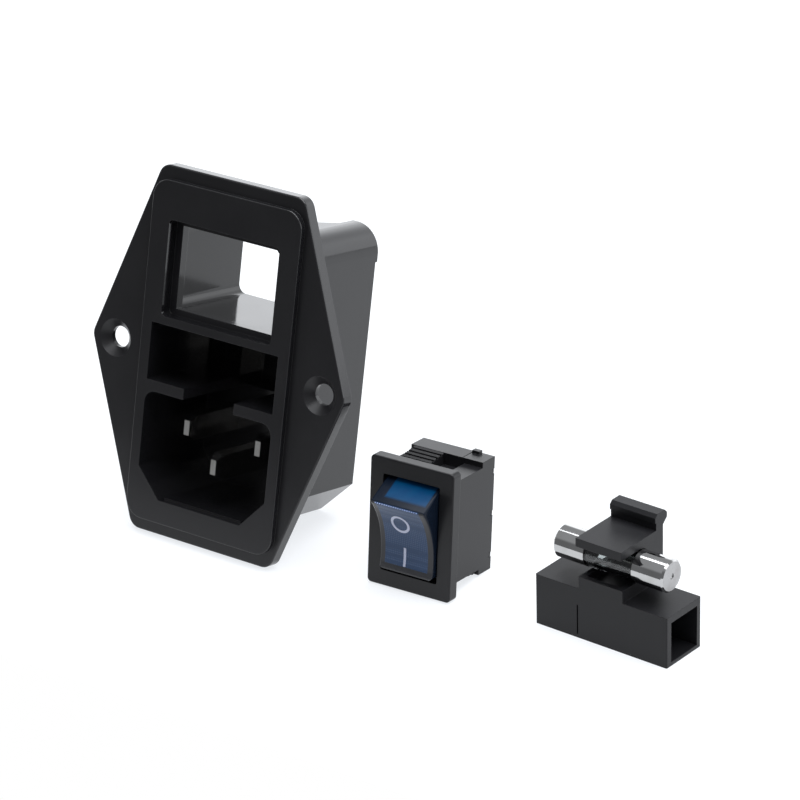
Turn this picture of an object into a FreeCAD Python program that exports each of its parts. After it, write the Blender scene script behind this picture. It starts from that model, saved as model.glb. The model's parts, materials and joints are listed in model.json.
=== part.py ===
import FreeCAD, Part
import math
import os
import re

import Sketcher
from FreeCAD import Placement, Rotation, Vector

# A panel power entry module taken apart for fitting, in three groups that stand side by side:
# the moulded housing with its inlet pins and fuse contacts, the lit rocker switch that snaps
# into its window, and the fuse drawer that slides into its slot with a 5 x 20 mm glass fuse.
# The housing and the switch are drawn as seen from the front: x to the right, y up and z out
# of the panel, so that a depth behind the face is a negative z. Millimetres and degrees.

SIZES = {
    # Flange and raised panel of the housing, measured from the middle between the screws
    "screw_pitch": 40.0,
    "screw_hole_radius": 1.7,
    "countersink_radius": 3.05,
    "flange_foot_margin": 4.25,
    "flange_end_margin": 0.2,
    "flange_tip_margin": 4.7,
    "flange_thickness": 2.1,
    "flange_corner_radius": 2.2,
    "flange_edge_round": 0.3,
    "panel_side_margin": 0.85,
    "panel_end_margin": 2.1,
    "panel_proud": 1.0,
    "panel_corner_radius": 3.0,
    "panel_edge_round": 0.2,
    # Body behind the flange
    "slot_side_wall": 1.15,
    "slot_rear_wall": 1.7,
    "cavity_floor_wall": 1.65,
    "body_top_radius": 4.4,
    "body_bevel_height": 5.85,
    "body_bevel_radius": 1.6,
    "body_wall": 1.2,
    "rear_rim_step": 0.45,
    "rear_rim_height": 5.6,
    "notch_half_width": 8.2,
    "notch_half_floor": 4.6,
    "notch_side_depth": 3.3,
    "notch_floor_depth": 8.0,
    # Window for the switch and the tunnel behind it
    "window_lower_step": 0.65,
    "window_upper_step": 0.95,
    "window_clearance": 0.2,
    "window_recess_depth": 2.1,
    "window_ledge_thickness": 1.5,
    "window_body_clearance": 0.15,
    "window_corner_radius": 0.8,
    "window_corner_bevel": 0.7,
    "tunnel_floor_wall": 1.72,
    "tunnel_corner_radius": 1.5,
    # Fuse slot, the two ledges below it and the inlet cavity
    "slot_clearance": 0.3,
    "slot_top": 4.58,
    "slot_end_room": 0.7,
    "stem_clearance": 0.8,
    "ledge_thickness": 1.75,
    "cavity_side_wall": 1.05,
    "cavity_bottom": 23.6,
    "cavity_bevel_width": 4.4,
    "cavity_bevel_height": 4.7,
    "cavity_depth": 15.5,
    "cavity_corner_radius": 2.0,
    "cavity_rib_height": 0.35,
    "cavity_rib_half_width": 7.6,
    # Inlet pins and their tabs
    "pin_width": 2.0,
    "pin_height": 4.0,
    "pin_spacing": 14.0,
    "pin_drop": 12.2,
    "pin_tip_depth": 3.4,
    "pin_tip_length": 1.3,
    "pin_tip_width": 1.0,
    "pin_tip_height": 2.4,
    "earth_drop": 16.7,
    "earth_tip_depth": 1.8,
    "tab_thickness": 0.8,
    "tab_width": 6.3,
    "tab_length": 8.0,
    "tab_hole_radius": 0.8,
    "tab_corner": 1.0,
    # Spring contacts in the fuse slot
    "contact_width": 4.0,
    "contact_thickness": 0.4,
    "contact_seat_length": 2.4,
    "contact_bow_reach": 3.4,
    "contact_touch_gap": 0.05,
    "fuse_tab_height": 4.8,
    # Switch: bezel and case
    "bezel_side_lip": 1.0,
    "bezel_end_lip": 1.2,
    "bezel_thickness": 2.0,
    "bezel_corner_radius": 0.7,
    "bezel_edge_round": 0.25,
    "case_width": 13.0,
    "case_front_height": 16.8,
    "case_block_height": 18.6,
    "case_block_depth": 9.9,
    "case_depth": 13.4,
    "rocker_opening_width": 10.2,
    "rocker_opening_height": 15.8,
    "opening_corner_radius": 0.3,
    "rocker_well_depth": 5.8,
    "chamber_width": 9.4,
    "chamber_height": 14.0,
    "base_width": 11.2,
    "base_height": 16.9,
    "base_thickness": 1.6,
    "latch_width": 5.3,
    "latch_inset": 0.6,
    "latch_lift": 0.85,
    "latch_front_depth": 3.2,
    "latch_rib_pitch": 1.05,
    "latch_rib_depth": 0.45,
    "latch_slot_width": 3.8,
    "latch_slot_depth": 1.0,
    "seam_across": 2.9,
    "seam_width": 0.15,
    "seam_depth": 0.12,
    "stud_width": 1.3,
    "stud_length": 0.9,
    "stud_height": 0.45,
    "nick_pitch": 6.9,
    "nick_height": 0.8,
    "nick_length": 0.7,
    "nick_depth": 0.35,
    # Rocker and the pieces that ride in it
    "rocker_width": 9.7,
    "rocker_tilt": 14.5,
    "pivot_depth": 2.5,
    "pivot_radius": 1.0,
    "pivot_length": 0.9,
    "pivot_clearance": 0.05,
    "rocker_crown": 5.2,
    "rocker_end_half": 6.2,
    "rocker_root_half": 7.6,
    "rocker_skirt": 1.0,
    "rocker_face_sag": 1.5,
    "rocker_wall": 1.0,
    "rocker_edge_round": 0.35,
    "post_half_width": 1.9,
    "plunger_show": 2.2,
    "bore_rise": 1.0,
    "plunger_radius": 1.0,
    "plunger_clearance": 0.05,
    "plunger_length": 4.2,
    "plunger_gap": 0.08,
    "spring_wire": 0.28,
    "spring_turns": 5.0,
    "spring_clearance": 0.06,
    # Contacts of the switch
    "lever_base_gap": 2.0,
    "lever_thickness": 0.5,
    "lever_width": 3.2,
    "lever_arm": 5.6,
    "lever_tail": 3.6,
    "lever_tilt": 7.0,
    "lever_hinge_radius": 0.45,
    "lever_hinge_clearance": 0.04,
    "lever_rock_room": 0.25,
    "lever_button_inset": 1.2,
    "contact_button_radius": 1.1,
    "contact_button_height": 0.35,
    "contact_button_gap": 0.03,
    "blade_thickness": 0.8,
    "blade_width": 3.2,
    "blade_pitch": 4.7,
    "blade_length": 7.0,
    "blade_hole_radius": 0.6,
    "foot_thickness": 0.6,
    # Lamp and its resistor
    "lamp_radius": 1.25,
    "lamp_length": 6.6,
    "lamp_end_bevel": 0.7,
    "lamp_drop": 5.2,
    "lamp_base_gap": 3.6,
    "lead_radius": 0.2,
    "short_lead_across": 1.0,
    "long_lead_across": 2.9,
    "resistor_radius": 0.8,
    "resistor_length": 3.4,
    # Fuse drawer: block, raised fuse bed, clip and catch
    "drawer_length": 24.1,
    "drawer_depth": 8.66,
    "drawer_height": 8.36,
    "drawer_edge_round": 0.2,
    "spare_side": 6.6,
    "spare_front_wall": 1.1,
    "spare_floor_wall": 0.6,
    "spare_depth": 21.0,
    "bed_length": 8.05,
    "bed_height": 2.0,
    "bed_wall": 0.9,
    "bed_trough_depth": 1.3,
    "clip_length": 8.3,
    "clip_overhang": 0.5,
    "clip_thickness": 1.4,
    "arm_thickness": 1.44,
    "arm_overlap": 0.4,
    "catch_neck_height": 1.25,
    "catch_neck_thickness": 1.75,
    "catch_height": 1.35,
    "catch_back_reach": 1.0,
    "catch_front_reach": 0.25,
    "catch_bevel": 0.55,
    "catch_back_rise": 0.9,
    "grip_clearance": 0.12,
    "slit_width": 0.25,
    "slit_depth": 0.4,
    "slit_height": 5.5,
    # Glass fuse, 5 x 20 mm
    "fuse_length": 20.0,
    "fuse_cap_radius": 2.6,
    "fuse_cap_length": 5.6,
    "fuse_cap_end": 0.35,
    "fuse_cap_bevel": 0.3,
    "fuse_glass_radius": 2.5,
    "fuse_glass_wall": 0.55,
    "fuse_wire_radius": 0.12,
    "fuse_dimple_radius": 0.45,
    "fuse_dimple_depth": 0.15,
    "fuse_drawer_inset": 4.17,
    "fuse_bed_gap": 0.12,
    # Where the switch and the drawer stand, measured from the middle of the flange's face
    "switch_place_across": 35.9,
    "switch_place_back": 0.65,
    "switch_turn": 2.4,
    "drawer_place_across": 57.6,
    "drawer_place_back": 2.5,
    "drawer_turn": -3.3,
}

# What follows from those sizes. The housing grows from what it holds: its depth and width from
# the fuse drawer, and its height from the switch, the drawer and the inlet
FOLLOWS = {
    "bezel_width": "case_width + 2 * bezel_side_lip",
    "bezel_height": "case_block_height + 2 * bezel_end_lip",
    "lever_depth": "case_depth - base_thickness - lever_base_gap - lever_thickness",
    "lamp_depth": "case_depth - base_thickness - lamp_base_gap",
    "post_reach": "lever_depth - pivot_depth - plunger_show",
    "bore_depth": "post_reach + bore_rise",
    "fuse_height": "drawer_height + bed_height + fuse_bed_gap + fuse_glass_radius",
    "clip_under": "fuse_height + fuse_glass_radius + grip_clearance",
    "clip_top": "clip_under + clip_thickness",
    "catch_low": "clip_top + catch_neck_height",
    "catch_top": "catch_low + catch_height",
    "slot_depth": "catch_top - panel_proud + slot_end_room",
    "slot_bottom": "slot_top - drawer_depth - 2 * slot_clearance",
    "slot_half_width": "drawer_length / 2 + slot_clearance",
    "body_depth": "slot_depth + slot_rear_wall",
    "body_half_width": "slot_half_width + slot_side_wall",
    "body_bottom": "cavity_bottom + cavity_floor_wall",
    "cavity_half_width": "body_half_width - cavity_side_wall",
    "cavity_top": "slot_bottom - ledge_thickness",
    "tunnel_floor": "slot_top + tunnel_floor_wall",
    "window_half_height": "case_width / 2 + window_body_clearance",
    "window_centre": "tunnel_floor + window_lower_step + window_half_height",
    "tunnel_top": "window_centre + window_half_height + window_upper_step",
    "body_top": "tunnel_top + body_wall",
    "rear_rim_start": "body_top - rear_rim_height",
    "panel_half_width": "body_half_width + panel_side_margin",
    "flange_half_height": "body_bottom + flange_foot_margin",
    "panel_half_height": "flange_half_height - panel_end_margin",
    "flange_end_half_width": "body_half_width + flange_end_margin",
    "flange_tip_reach": "screw_pitch / 2 + flange_tip_margin",
}

doc = FreeCAD.newDocument("power_entry_module")


def bound(formula):
    """Point every size that a formula names at its cell in one of the two sheets."""
    def cell(word):
        return ("Worked." if word.group(0) in FOLLOWS else "Sizes.") + word.group(0)

    return re.sub(r"[a-z]+(?:_[a-z]+)+", cell, formula)


def fill_sheet(name, rows):
    """Write a sheet of named cells."""
    sheet = doc.addObject("Spreadsheet::Sheet", name)
    for row, (label, content) in enumerate(rows.items(), start=1):
        sheet.set(f"A{row}", label)
        sheet.set(f"B{row}", content)
        sheet.setAlias(f"B{row}", label)
    doc.recompute()
    return sheet


sizes_sheet = fill_sheet("Sizes", {name: str(number) for name, number in SIZES.items()})
worked_sheet = fill_sheet("Worked", {name: "=" + bound(formula).replace("Worked.", "")
                                     for name, formula in FOLLOWS.items()})


def size(name):
    """Give the number that the sheets hold for one size."""
    holder = worked_sheet if name in FOLLOWS else sizes_sheet
    return float(holder.get(name))


parts = {}


def new_body(label):
    """Start one moulded or stamped piece, kept under its own label."""
    body = doc.addObject("PartDesign::Body", label)
    body.Label = label
    parts[label] = body
    return body


def sketch_on(body, role, offset="0"):
    """Lay a sketch on one of the body's own planes, moved along that plane's normal."""
    sketch = body.newObject("Sketcher::SketchObject", "sketch")
    plane = next(item for item in body.Origin.OriginFeatures if item.Role == role)
    sketch.AttachmentSupport = [(plane, "")]
    sketch.MapMode = "FlatFace"
    sketch.setExpression("AttachmentOffset.Base.z", bound(offset))
    return sketch


def fix_point(sketch, geometry, position, across, up):
    """Tie one point of a sketch to two formulas."""
    for direction, formula in (("DistanceX", across), ("DistanceY", up)):
        index = sketch.addConstraint(Sketcher.Constraint(direction, -1, 1, geometry, position, 1.0))
        sketch.setExpression(f"Constraints[{index}]", bound(formula))


def draw_outline(sketch, corners):
    """Draw a closed outline whose corners are pairs of formulas."""
    first = sketch.GeometryCount
    count = len(corners)
    turn = 2 * math.pi / count
    spots = [Vector(math.cos(turn * i), math.sin(turn * i), 0) for i in range(count)]
    for i in range(count):
        sketch.addGeometry(Part.LineSegment(spots[i], spots[(i + 1) % count]))
    for i in range(count):
        following = first + (i + 1) % count
        sketch.addConstraint(Sketcher.Constraint("Coincident", first + i, 2, following, 1))
    for i, (across, up) in enumerate(corners):
        fix_point(sketch, first + i, 1, across, up)


def draw_box(sketch, left, right, low, high):
    """Draw an upright rectangle between four formulas."""
    draw_outline(sketch, [(left, low), (right, low), (right, high), (left, high)])


def draw_circle(sketch, across, up, radius):
    """Draw a circle about a point."""
    index = sketch.addGeometry(Part.Circle(Vector(1, 1, 0), Vector(0, 0, 1), 1.0))
    fix_point(sketch, index, 3, across, up)
    radius_index = sketch.addConstraint(Sketcher.Constraint("Radius", index, 1.0))
    sketch.setExpression(f"Constraints[{radius_index}]", bound(radius))


def grow(body, sketch, length, backwards=False, both_sides=False):
    """Pad a sketch into the body."""
    pad = body.newObject("PartDesign::Pad", "pad")
    pad.Profile = sketch
    pad.Reversed = backwards
    pad.Midplane = both_sides
    pad.setExpression("Length", bound(length))
    doc.recompute()
    return pad


def taper(body, start, end):
    """Join two outlines of one body by flat sloping sides."""
    slope = body.newObject("PartDesign::AdditiveLoft", "taper")
    slope.Profile = start
    slope.Sections = [end]
    slope.Ruled = True
    doc.recompute()
    return slope


def cut(body, sketch, length, backwards=False, both_sides=False):
    """Pocket a sketch out of the body, and make sure that it took something away."""
    before = body.Shape.Volume
    pocket = body.newObject("PartDesign::Pocket", "pocket")
    pocket.Profile = sketch
    pocket.Reversed = backwards
    pocket.Midplane = both_sides
    pocket.setExpression("Length", bound(length))
    doc.recompute()
    if body.Shape.Volume >= before:
        raise RuntimeError(f"a cut in {body.Label} removes nothing")
    return pocket


def edges_where(shape, test):
    """Name the edges of a shape whose end points all pass a test."""
    names = []
    for index, edge in enumerate(shape.Edges, start=1):
        if all(test(vertex.Point) for vertex in edge.Vertexes):
            names.append(f"Edge{index}")
    return names


def edges_along(shape, axis, test):
    """Name the straight edges that run along one axis (0, 1 or 2) and pass a test."""
    names = []
    for index, edge in enumerate(shape.Edges, start=1):
        ends = [vertex.Point for vertex in edge.Vertexes]
        if len(ends) != 2 or not isinstance(edge.Curve, Part.Line):
            continue
        run = ends[1] - ends[0]
        others = [abs(run[other]) for other in range(3) if other != axis]
        if max(others) < 0.001 and all(test(point) for point in ends):
            names.append(f"Edge{index}")
    return names


def soften(body, names, radius, kind="Fillet"):
    """Round or bevel the named edges of the body."""
    if not names:
        raise RuntimeError(f"no edge to soften on {body.Label}")
    shaped = body.Tip
    feature = body.newObject(f"PartDesign::{kind}", kind.lower())
    feature.Base = (shaped, names)
    feature.setExpression("Radius" if kind == "Fillet" else "Size", bound(radius))
    doc.recompute()
    if "Invalid" in feature.State:
        raise RuntimeError(f"{kind} of {radius} fails on {body.Label}")
    return feature


def near(number, goal):
    return abs(number - goal) < 0.01


# Places that several pieces share
REAR = "(body_depth + rear_rim_step)"
WINDOW_FLOOR = "(panel_proud - window_recess_depth)"
FUSE_MOUNTED_DEPTH = "(panel_proud - fuse_height)"


# Housing: one black moulding
housing = new_body("housing")

flange = sketch_on(housing, "XY_Plane")
draw_outline(flange, [
    ("flange_end_half_width", "flange_half_height"),
    ("-flange_end_half_width", "flange_half_height"),
    ("-flange_tip_reach", "0"),
    ("-flange_end_half_width", "-flange_half_height"),
    ("flange_end_half_width", "-flange_half_height"),
    ("flange_tip_reach", "0"),
])
grow(housing, flange, "flange_thickness", backwards=True)
soften(housing, edges_along(housing.Shape, 2, lambda point: True), "flange_corner_radius")

panel = sketch_on(housing, "XY_Plane")
draw_box(panel, "-panel_half_width", "panel_half_width", "-panel_half_height", "panel_half_height")
grow(housing, panel, "panel_proud")
panel_corner = edges_along(housing.Shape, 2, lambda point: near(abs(point.x), size("panel_half_width")))
soften(housing, panel_corner, "panel_corner_radius")


def on_flange_front(point):
    """Tell the points of the flange's front outline from those at the foot of the panel."""
    over = abs(point.y) > size("panel_half_height") + 0.01
    beside = abs(point.x) > size("panel_half_width") + 0.01
    return near(point.z, 0) and (over or beside)


soften(housing, edges_where(housing.Shape, on_flange_front), "flange_edge_round")
panel_rim = edges_where(housing.Shape, lambda point: near(point.z, size("panel_proud")))
soften(housing, panel_rim, "panel_edge_round")

box_behind = sketch_on(housing, "XY_Plane", "-flange_thickness")
BEVEL_FOOT = "(body_half_width - body_bevel_height)"
BEVEL_START = "(body_bevel_height - body_bottom)"
draw_outline(box_behind, [
    ("-body_half_width", "body_top"),
    ("-body_half_width", BEVEL_START),
    (f"-{BEVEL_FOOT}", "-body_bottom"),
    (BEVEL_FOOT, "-body_bottom"),
    ("body_half_width", BEVEL_START),
    ("body_half_width", "body_top"),
])
grow(housing, box_behind, "body_depth - flange_thickness", backwards=True)
rim = sketch_on(housing, "XY_Plane", "-body_depth")
draw_box(rim, "-body_half_width", "body_half_width", "rear_rim_start", "body_top")
grow(housing, rim, "rear_rim_step", backwards=True)
bevel_ends = edges_along(housing.Shape, 2, lambda point: near(point.y, -size("body_bottom")))
soften(housing, bevel_ends, "body_bevel_radius")

# Tunnel behind the switch, open at the rear
tunnel = sketch_on(housing, "XY_Plane", f"-{REAR}")
TUNNEL_HALF_WIDTH = "(body_half_width - body_wall)"
draw_box(tunnel, f"-{TUNNEL_HALF_WIDTH}", TUNNEL_HALF_WIDTH, "tunnel_floor", "tunnel_top")
cut(housing, tunnel, f"{REAR} + {WINDOW_FLOOR} - window_ledge_thickness", backwards=True)
tunnel_side = size("body_half_width") - size("body_wall")
tunnel_top = size("tunnel_top")
lower = edges_along(housing.Shape, 2, lambda point: near(abs(point.x), tunnel_side)
                    and near(point.y, size("tunnel_floor")))
soften(housing, lower, "tunnel_corner_radius")
upper = edges_along(housing.Shape, 2, lambda point: near(abs(point.x), tunnel_side)
                    and near(point.y, tunnel_top))
soften(housing, upper, "body_top_radius - body_wall")
shoulders = edges_along(housing.Shape, 2, lambda point: near(point.y, size("body_top")))
soften(housing, shoulders, "body_top_radius")

# Recess that takes the bezel, and the window that the switch snaps into
recess = sketch_on(housing, "XY_Plane", "panel_proud")
RECESS_HALF_WIDTH = "(bezel_height / 2 + window_clearance)"
RECESS_HALF_HEIGHT = "(bezel_width / 2 + window_clearance)"
draw_box(recess, f"-{RECESS_HALF_WIDTH}", RECESS_HALF_WIDTH,
         f"window_centre - {RECESS_HALF_HEIGHT}", f"window_centre + {RECESS_HALF_HEIGHT}")
cut(housing, recess, "window_recess_depth")
recess_side = size("bezel_height") / 2 + size("window_clearance")
recess_corner = edges_along(housing.Shape, 2, lambda point: near(abs(point.x), recess_side))
soften(housing, recess_corner, "window_corner_radius")
window = sketch_on(housing, "XY_Plane", WINDOW_FLOOR)
WINDOW_HALF_WIDTH = "(case_block_height / 2 + window_body_clearance)"
draw_box(window, f"-{WINDOW_HALF_WIDTH}", WINDOW_HALF_WIDTH,
         "window_centre - window_half_height", "window_centre + window_half_height")
cut(housing, window, "window_ledge_thickness")
window_side = size("case_block_height") / 2 + size("window_body_clearance")
window_corner = edges_along(housing.Shape, 2, lambda point: near(point.x, window_side)
                            and point.y > size("window_centre"))
soften(housing, window_corner, "window_corner_bevel", "Chamfer")

# Notch in the roof of the tunnel, for the leads of the switch
notch = sketch_on(housing, "XZ_Plane", "-body_top")
draw_outline(notch, [
    ("-notch_half_width", f"-{REAR}"),
    ("notch_half_width", f"-{REAR}"),
    ("notch_half_width", "notch_side_depth - body_depth"),
    ("notch_half_floor", "notch_floor_depth - body_depth"),
    ("-notch_half_floor", "notch_floor_depth - body_depth"),
    ("-notch_half_width", "notch_side_depth - body_depth"),
])
cut(housing, notch, "2 * body_wall", backwards=True)

# Fuse slot, with a gap between two ledges where the stem of the drawer runs
slot = sketch_on(housing, "XY_Plane", "panel_proud")
draw_box(slot, "-slot_half_width", "slot_half_width", "slot_bottom", "slot_top")
cut(housing, slot, "panel_proud + slot_depth")
stem_gap = sketch_on(housing, "XY_Plane", "panel_proud")
STEM_HALF_WIDTH = "(clip_length / 2 + stem_clearance)"
draw_box(stem_gap, f"-{STEM_HALF_WIDTH}", STEM_HALF_WIDTH, "cavity_top", "slot_bottom")
cut(housing, stem_gap, "panel_proud + slot_depth")

# Inlet cavity, with its two lower corners cut off so that the plug goes in one way round
cavity = sketch_on(housing, "XY_Plane", "panel_proud")
CAVITY_FOOT = "(cavity_half_width - cavity_bevel_width)"
CAVITY_BEVEL = "(cavity_bevel_height - cavity_bottom)"
draw_outline(cavity, [
    ("-cavity_half_width", "cavity_top"),
    ("-cavity_half_width", CAVITY_BEVEL),
    (f"-{CAVITY_FOOT}", "-cavity_bottom"),
    (CAVITY_FOOT, "-cavity_bottom"),
    ("cavity_half_width", CAVITY_BEVEL),
    ("cavity_half_width", "cavity_top"),
])
cut(housing, cavity, "panel_proud + cavity_depth")
cavity_top = size("cavity_top")
cavity_shoulder = edges_along(housing.Shape, 2, lambda point: near(point.y, cavity_top)
                              and near(abs(point.x), size("cavity_half_width")))
soften(housing, cavity_shoulder, "cavity_corner_radius")
cavity_rib = sketch_on(housing, "XY_Plane", "-cavity_depth")
draw_box(cavity_rib, "-cavity_rib_half_width", "cavity_rib_half_width",
         "-cavity_bottom", "cavity_rib_height - cavity_bottom")
grow(housing, cavity_rib, "cavity_depth")

# Two countersunk screw holes
screw_holes = sketch_on(housing, "XY_Plane")
for side in ("-screw_pitch / 2", "screw_pitch / 2"):
    draw_circle(screw_holes, side, "0", "screw_hole_radius")
cut(housing, screw_holes, "flange_thickness")


def is_hole_rim(edge):
    """Tell the front rims of the screw holes."""
    return (isinstance(edge.Curve, Part.Circle) and near(edge.Curve.Radius, size("screw_hole_radius"))
            and near(edge.Curve.Center.z, 0))


hole_rims = [f"Edge{index}" for index, edge in enumerate(housing.Shape.Edges, start=1)
             if is_hole_rim(edge)]
soften(housing, hole_rims, "countersink_radius - screw_hole_radius", "Chamfer")

# Seats that the pins and the fuse contacts are pressed into
PINS = {
    "line_pin": ("-pin_spacing / 2", "pin_drop", "pin_tip_depth"),
    "neutral_pin": ("pin_spacing / 2", "pin_drop", "pin_tip_depth"),
    "earth_pin": ("0", "earth_drop", "earth_tip_depth"),
}
pin_seats = sketch_on(housing, "XY_Plane", "-body_depth")
for across, drop, tip in PINS.values():
    draw_box(pin_seats, f"{across} - pin_width / 2", f"{across} + pin_width / 2",
             f"-{drop} - pin_height / 2", f"-{drop} + pin_height / 2")
cut(housing, pin_seats, "body_depth - cavity_depth", backwards=True)
FEED_SIDE = "(-pin_spacing / 2)"
LOAD_SIDE = "(pin_spacing / 2)"
PIN_TOP = "(pin_height / 2 - pin_drop)"
feed_seat = sketch_on(housing, "XY_Plane", "contact_thickness - slot_depth")
draw_box(feed_seat, f"{FEED_SIDE} - contact_width / 2", f"{FEED_SIDE} + contact_width / 2",
         PIN_TOP, "slot_bottom")
cut(housing, feed_seat, "contact_thickness")
load_seat = sketch_on(housing, "XY_Plane", "-slot_depth")
draw_box(load_seat, f"{LOAD_SIDE} - tab_thickness / 2", f"{LOAD_SIDE} + tab_thickness / 2",
         "slot_top - fuse_tab_height", "slot_top")
cut(housing, load_seat, "body_depth - slot_depth")


def add_tab_finish(body, across, middle, width):
    """Give a quick-connect tab its latch hole and its cut corners."""
    hole = sketch_on(body, "YZ_Plane", across)
    draw_circle(hole, middle, "tab_width / 2 - body_depth - tab_length", "tab_hole_radius")
    cut(body, hole, "2 * tab_thickness", both_sides=True)
    tab_end = -size("body_depth") - size("tab_length")
    corners = edges_along(body.Shape, 0, lambda point: near(point.z, tab_end))
    soften(body, corners, "tab_corner", "Chamfer")


# Inlet pins: each a blade with its tab, cut from one strip and pressed in from the rear
for label, (across, drop, tip) in PINS.items():
    pin = new_body(label)
    outlines = []
    for width, height, start in (("pin_width", "pin_height", f"{tip} + pin_tip_length"),
                                 ("pin_tip_width", "pin_tip_height", tip)):
        outline = sketch_on(pin, "XY_Plane", f"-({start})")
        draw_box(outline, f"{across} - {width} / 2", f"{across} + {width} / 2",
                 f"-{drop} - {height} / 2", f"-{drop} + {height} / 2")
        outlines.append(outline)
    grow(pin, outlines[0], f"body_depth - {tip} - pin_tip_length", backwards=True)
    taper(pin, *outlines)
    tab = sketch_on(pin, "XY_Plane", "-body_depth")
    draw_box(tab, f"{across} - tab_thickness / 2", f"{across} + tab_thickness / 2",
             f"-{drop} - tab_width / 2", f"-{drop} + tab_width / 2")
    grow(pin, tab, "tab_length", backwards=True)
    add_tab_finish(pin, across, f"-{drop}", "tab_width")

# Fuse contacts: bowed spring strips along the roof of the slot. The feed strip runs down
# behind the slot to the line pin, and the load strip ends in a tab behind the housing.
BOW_TOUCH = ("(slot_top - slot_clearance - fuse_drawer_inset + fuse_cap_radius"
             " + contact_touch_gap)")
BOW_FRONT = f"({FUSE_MOUNTED_DEPTH} + contact_bow_reach)"
SEAT_END = "(contact_seat_length - slot_depth)"
BOW_UPPER = [
    ("slot_top", SEAT_END),
    (f"{BOW_TOUCH} + contact_thickness", FUSE_MOUNTED_DEPTH),
    ("slot_top - contact_thickness / 2", BOW_FRONT),
]
BOW_LOWER = [
    ("slot_top - 3 * contact_thickness / 2", BOW_FRONT),
    (BOW_TOUCH, FUSE_MOUNTED_DEPTH),
    ("slot_top - contact_thickness", SEAT_END),
]
feed_contact = new_body("fuse_feed_contact")
feed_strip = sketch_on(feed_contact, "YZ_Plane", FEED_SIDE)
draw_outline(feed_strip, [
    (PIN_TOP, "-slot_depth"),
    ("slot_top", "-slot_depth"),
    *BOW_UPPER,
    *BOW_LOWER,
    ("slot_top - contact_thickness", "contact_thickness - slot_depth"),
    (PIN_TOP, "contact_thickness - slot_depth"),
])
grow(feed_contact, feed_strip, "contact_width", both_sides=True)

load_contact = new_body("fuse_load_contact")
load_strip = sketch_on(load_contact, "YZ_Plane", LOAD_SIDE)
draw_outline(load_strip, [
    ("slot_top", "-slot_depth"),
    *BOW_UPPER,
    *BOW_LOWER,
    ("slot_top - contact_thickness", "-slot_depth"),
])
grow(load_contact, load_strip, "contact_width", both_sides=True)
load_tab = sketch_on(load_contact, "XY_Plane", "contact_seat_length / 2 - slot_depth")
draw_box(load_tab, f"{LOAD_SIDE} - tab_thickness / 2", f"{LOAD_SIDE} + tab_thickness / 2",
         "slot_top - fuse_tab_height", "slot_top")
grow(load_contact, load_tab, "body_depth + tab_length - slot_depth + contact_seat_length / 2",
     backwards=True)
add_tab_finish(load_contact, LOAD_SIDE, "slot_top - fuse_tab_height / 2", "fuse_tab_height")


# Switch case: a black moulding with a bezel, two ribbed latches and a deep well
case = new_body("switch_case")
bezel = sketch_on(case, "XY_Plane")
draw_box(bezel, "-bezel_width / 2", "bezel_width / 2", "-bezel_height / 2", "bezel_height / 2")
grow(case, bezel, "bezel_thickness", backwards=True)
soften(case, edges_along(case.Shape, 2, lambda point: True), "bezel_corner_radius")
soften(case, edges_where(case.Shape, lambda point: near(point.z, 0)), "bezel_edge_round")
for height, start in (("case_front_height", "bezel_thickness"), ("case_block_height", "case_block_depth")):
    trunk = sketch_on(case, "XY_Plane", f"-{start}")
    draw_box(trunk, "-case_width / 2", "case_width / 2", f"-{height} / 2", f"{height} / 2")
    grow(case, trunk, f"case_depth - {start}", backwards=True)

# The latches stand at opposite corners, so each is the other turned half a turn
LATCH_MIDDLE = "(case_width / 2 - latch_inset - latch_width / 2)"
LATCH_TEETH = int((size("case_block_depth") - size("latch_front_depth")) / size("latch_rib_pitch"))
for side, across in ((1, f"-{LATCH_MIDDLE}"), (-1, LATCH_MIDDLE)):
    saw = [(f"{side} * case_front_height / 2 - {side} * latch_rib_depth", "-case_block_depth")]
    for tooth in range(LATCH_TEETH):
        fall = f"(1 - {tooth} / {LATCH_TEETH})"
        crest = f"{side} * (case_front_height / 2 + latch_lift * {fall})"
        place = f"{tooth} * latch_rib_pitch - case_block_depth"
        saw.append((crest, place))
        saw.append((f"{crest} - {side} * latch_rib_depth",
                    f"{place} + 3 * latch_rib_pitch / 4"))
    saw.append((f"{side} * case_front_height / 2 - {side} * latch_rib_depth",
                f"{LATCH_TEETH} * latch_rib_pitch - case_block_depth"))
    latch = sketch_on(case, "YZ_Plane", across)
    draw_outline(latch, saw)
    grow(case, latch, "latch_width", both_sides=True)
    slot_start = f"{-side} * (case_width / 2 - latch_inset - latch_width)"
    relief = sketch_on(case, "XZ_Plane", f"-{side} * case_front_height / 2")
    draw_box(relief, slot_start, f"{slot_start} + {side} * latch_slot_width",
             "-case_block_depth", "-rocker_well_depth - latch_rib_depth")
    cut(case, relief, "latch_slot_depth", backwards=side > 0)

# The block behind the latches shows a seam and a stud on its top, and nicks down its sides
stud = sketch_on(case, "XZ_Plane", "-case_block_height / 2")
draw_box(stud, "seam_across", "seam_across + stud_width", "-case_depth", "stud_length - case_depth")
grow(case, stud, "stud_height", backwards=True)
seam = sketch_on(case, "XZ_Plane", "-case_block_height / 2")
draw_box(seam, "seam_across - seam_width", "seam_across", "-case_depth", "-case_block_depth")
cut(case, seam, "seam_depth", backwards=True)
nicks = sketch_on(case, "XY_Plane", "-case_depth")
for middle in ("nick_pitch", "0", "-nick_pitch"):
    for side in (1, -1):
        draw_box(nicks, f"{side} * (case_width / 2 - nick_depth)", f"{side} * case_width / 2",
                 f"{middle} - nick_height / 2", f"{middle} + nick_height / 2")
cut(case, nicks, "nick_length", backwards=True)

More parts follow.
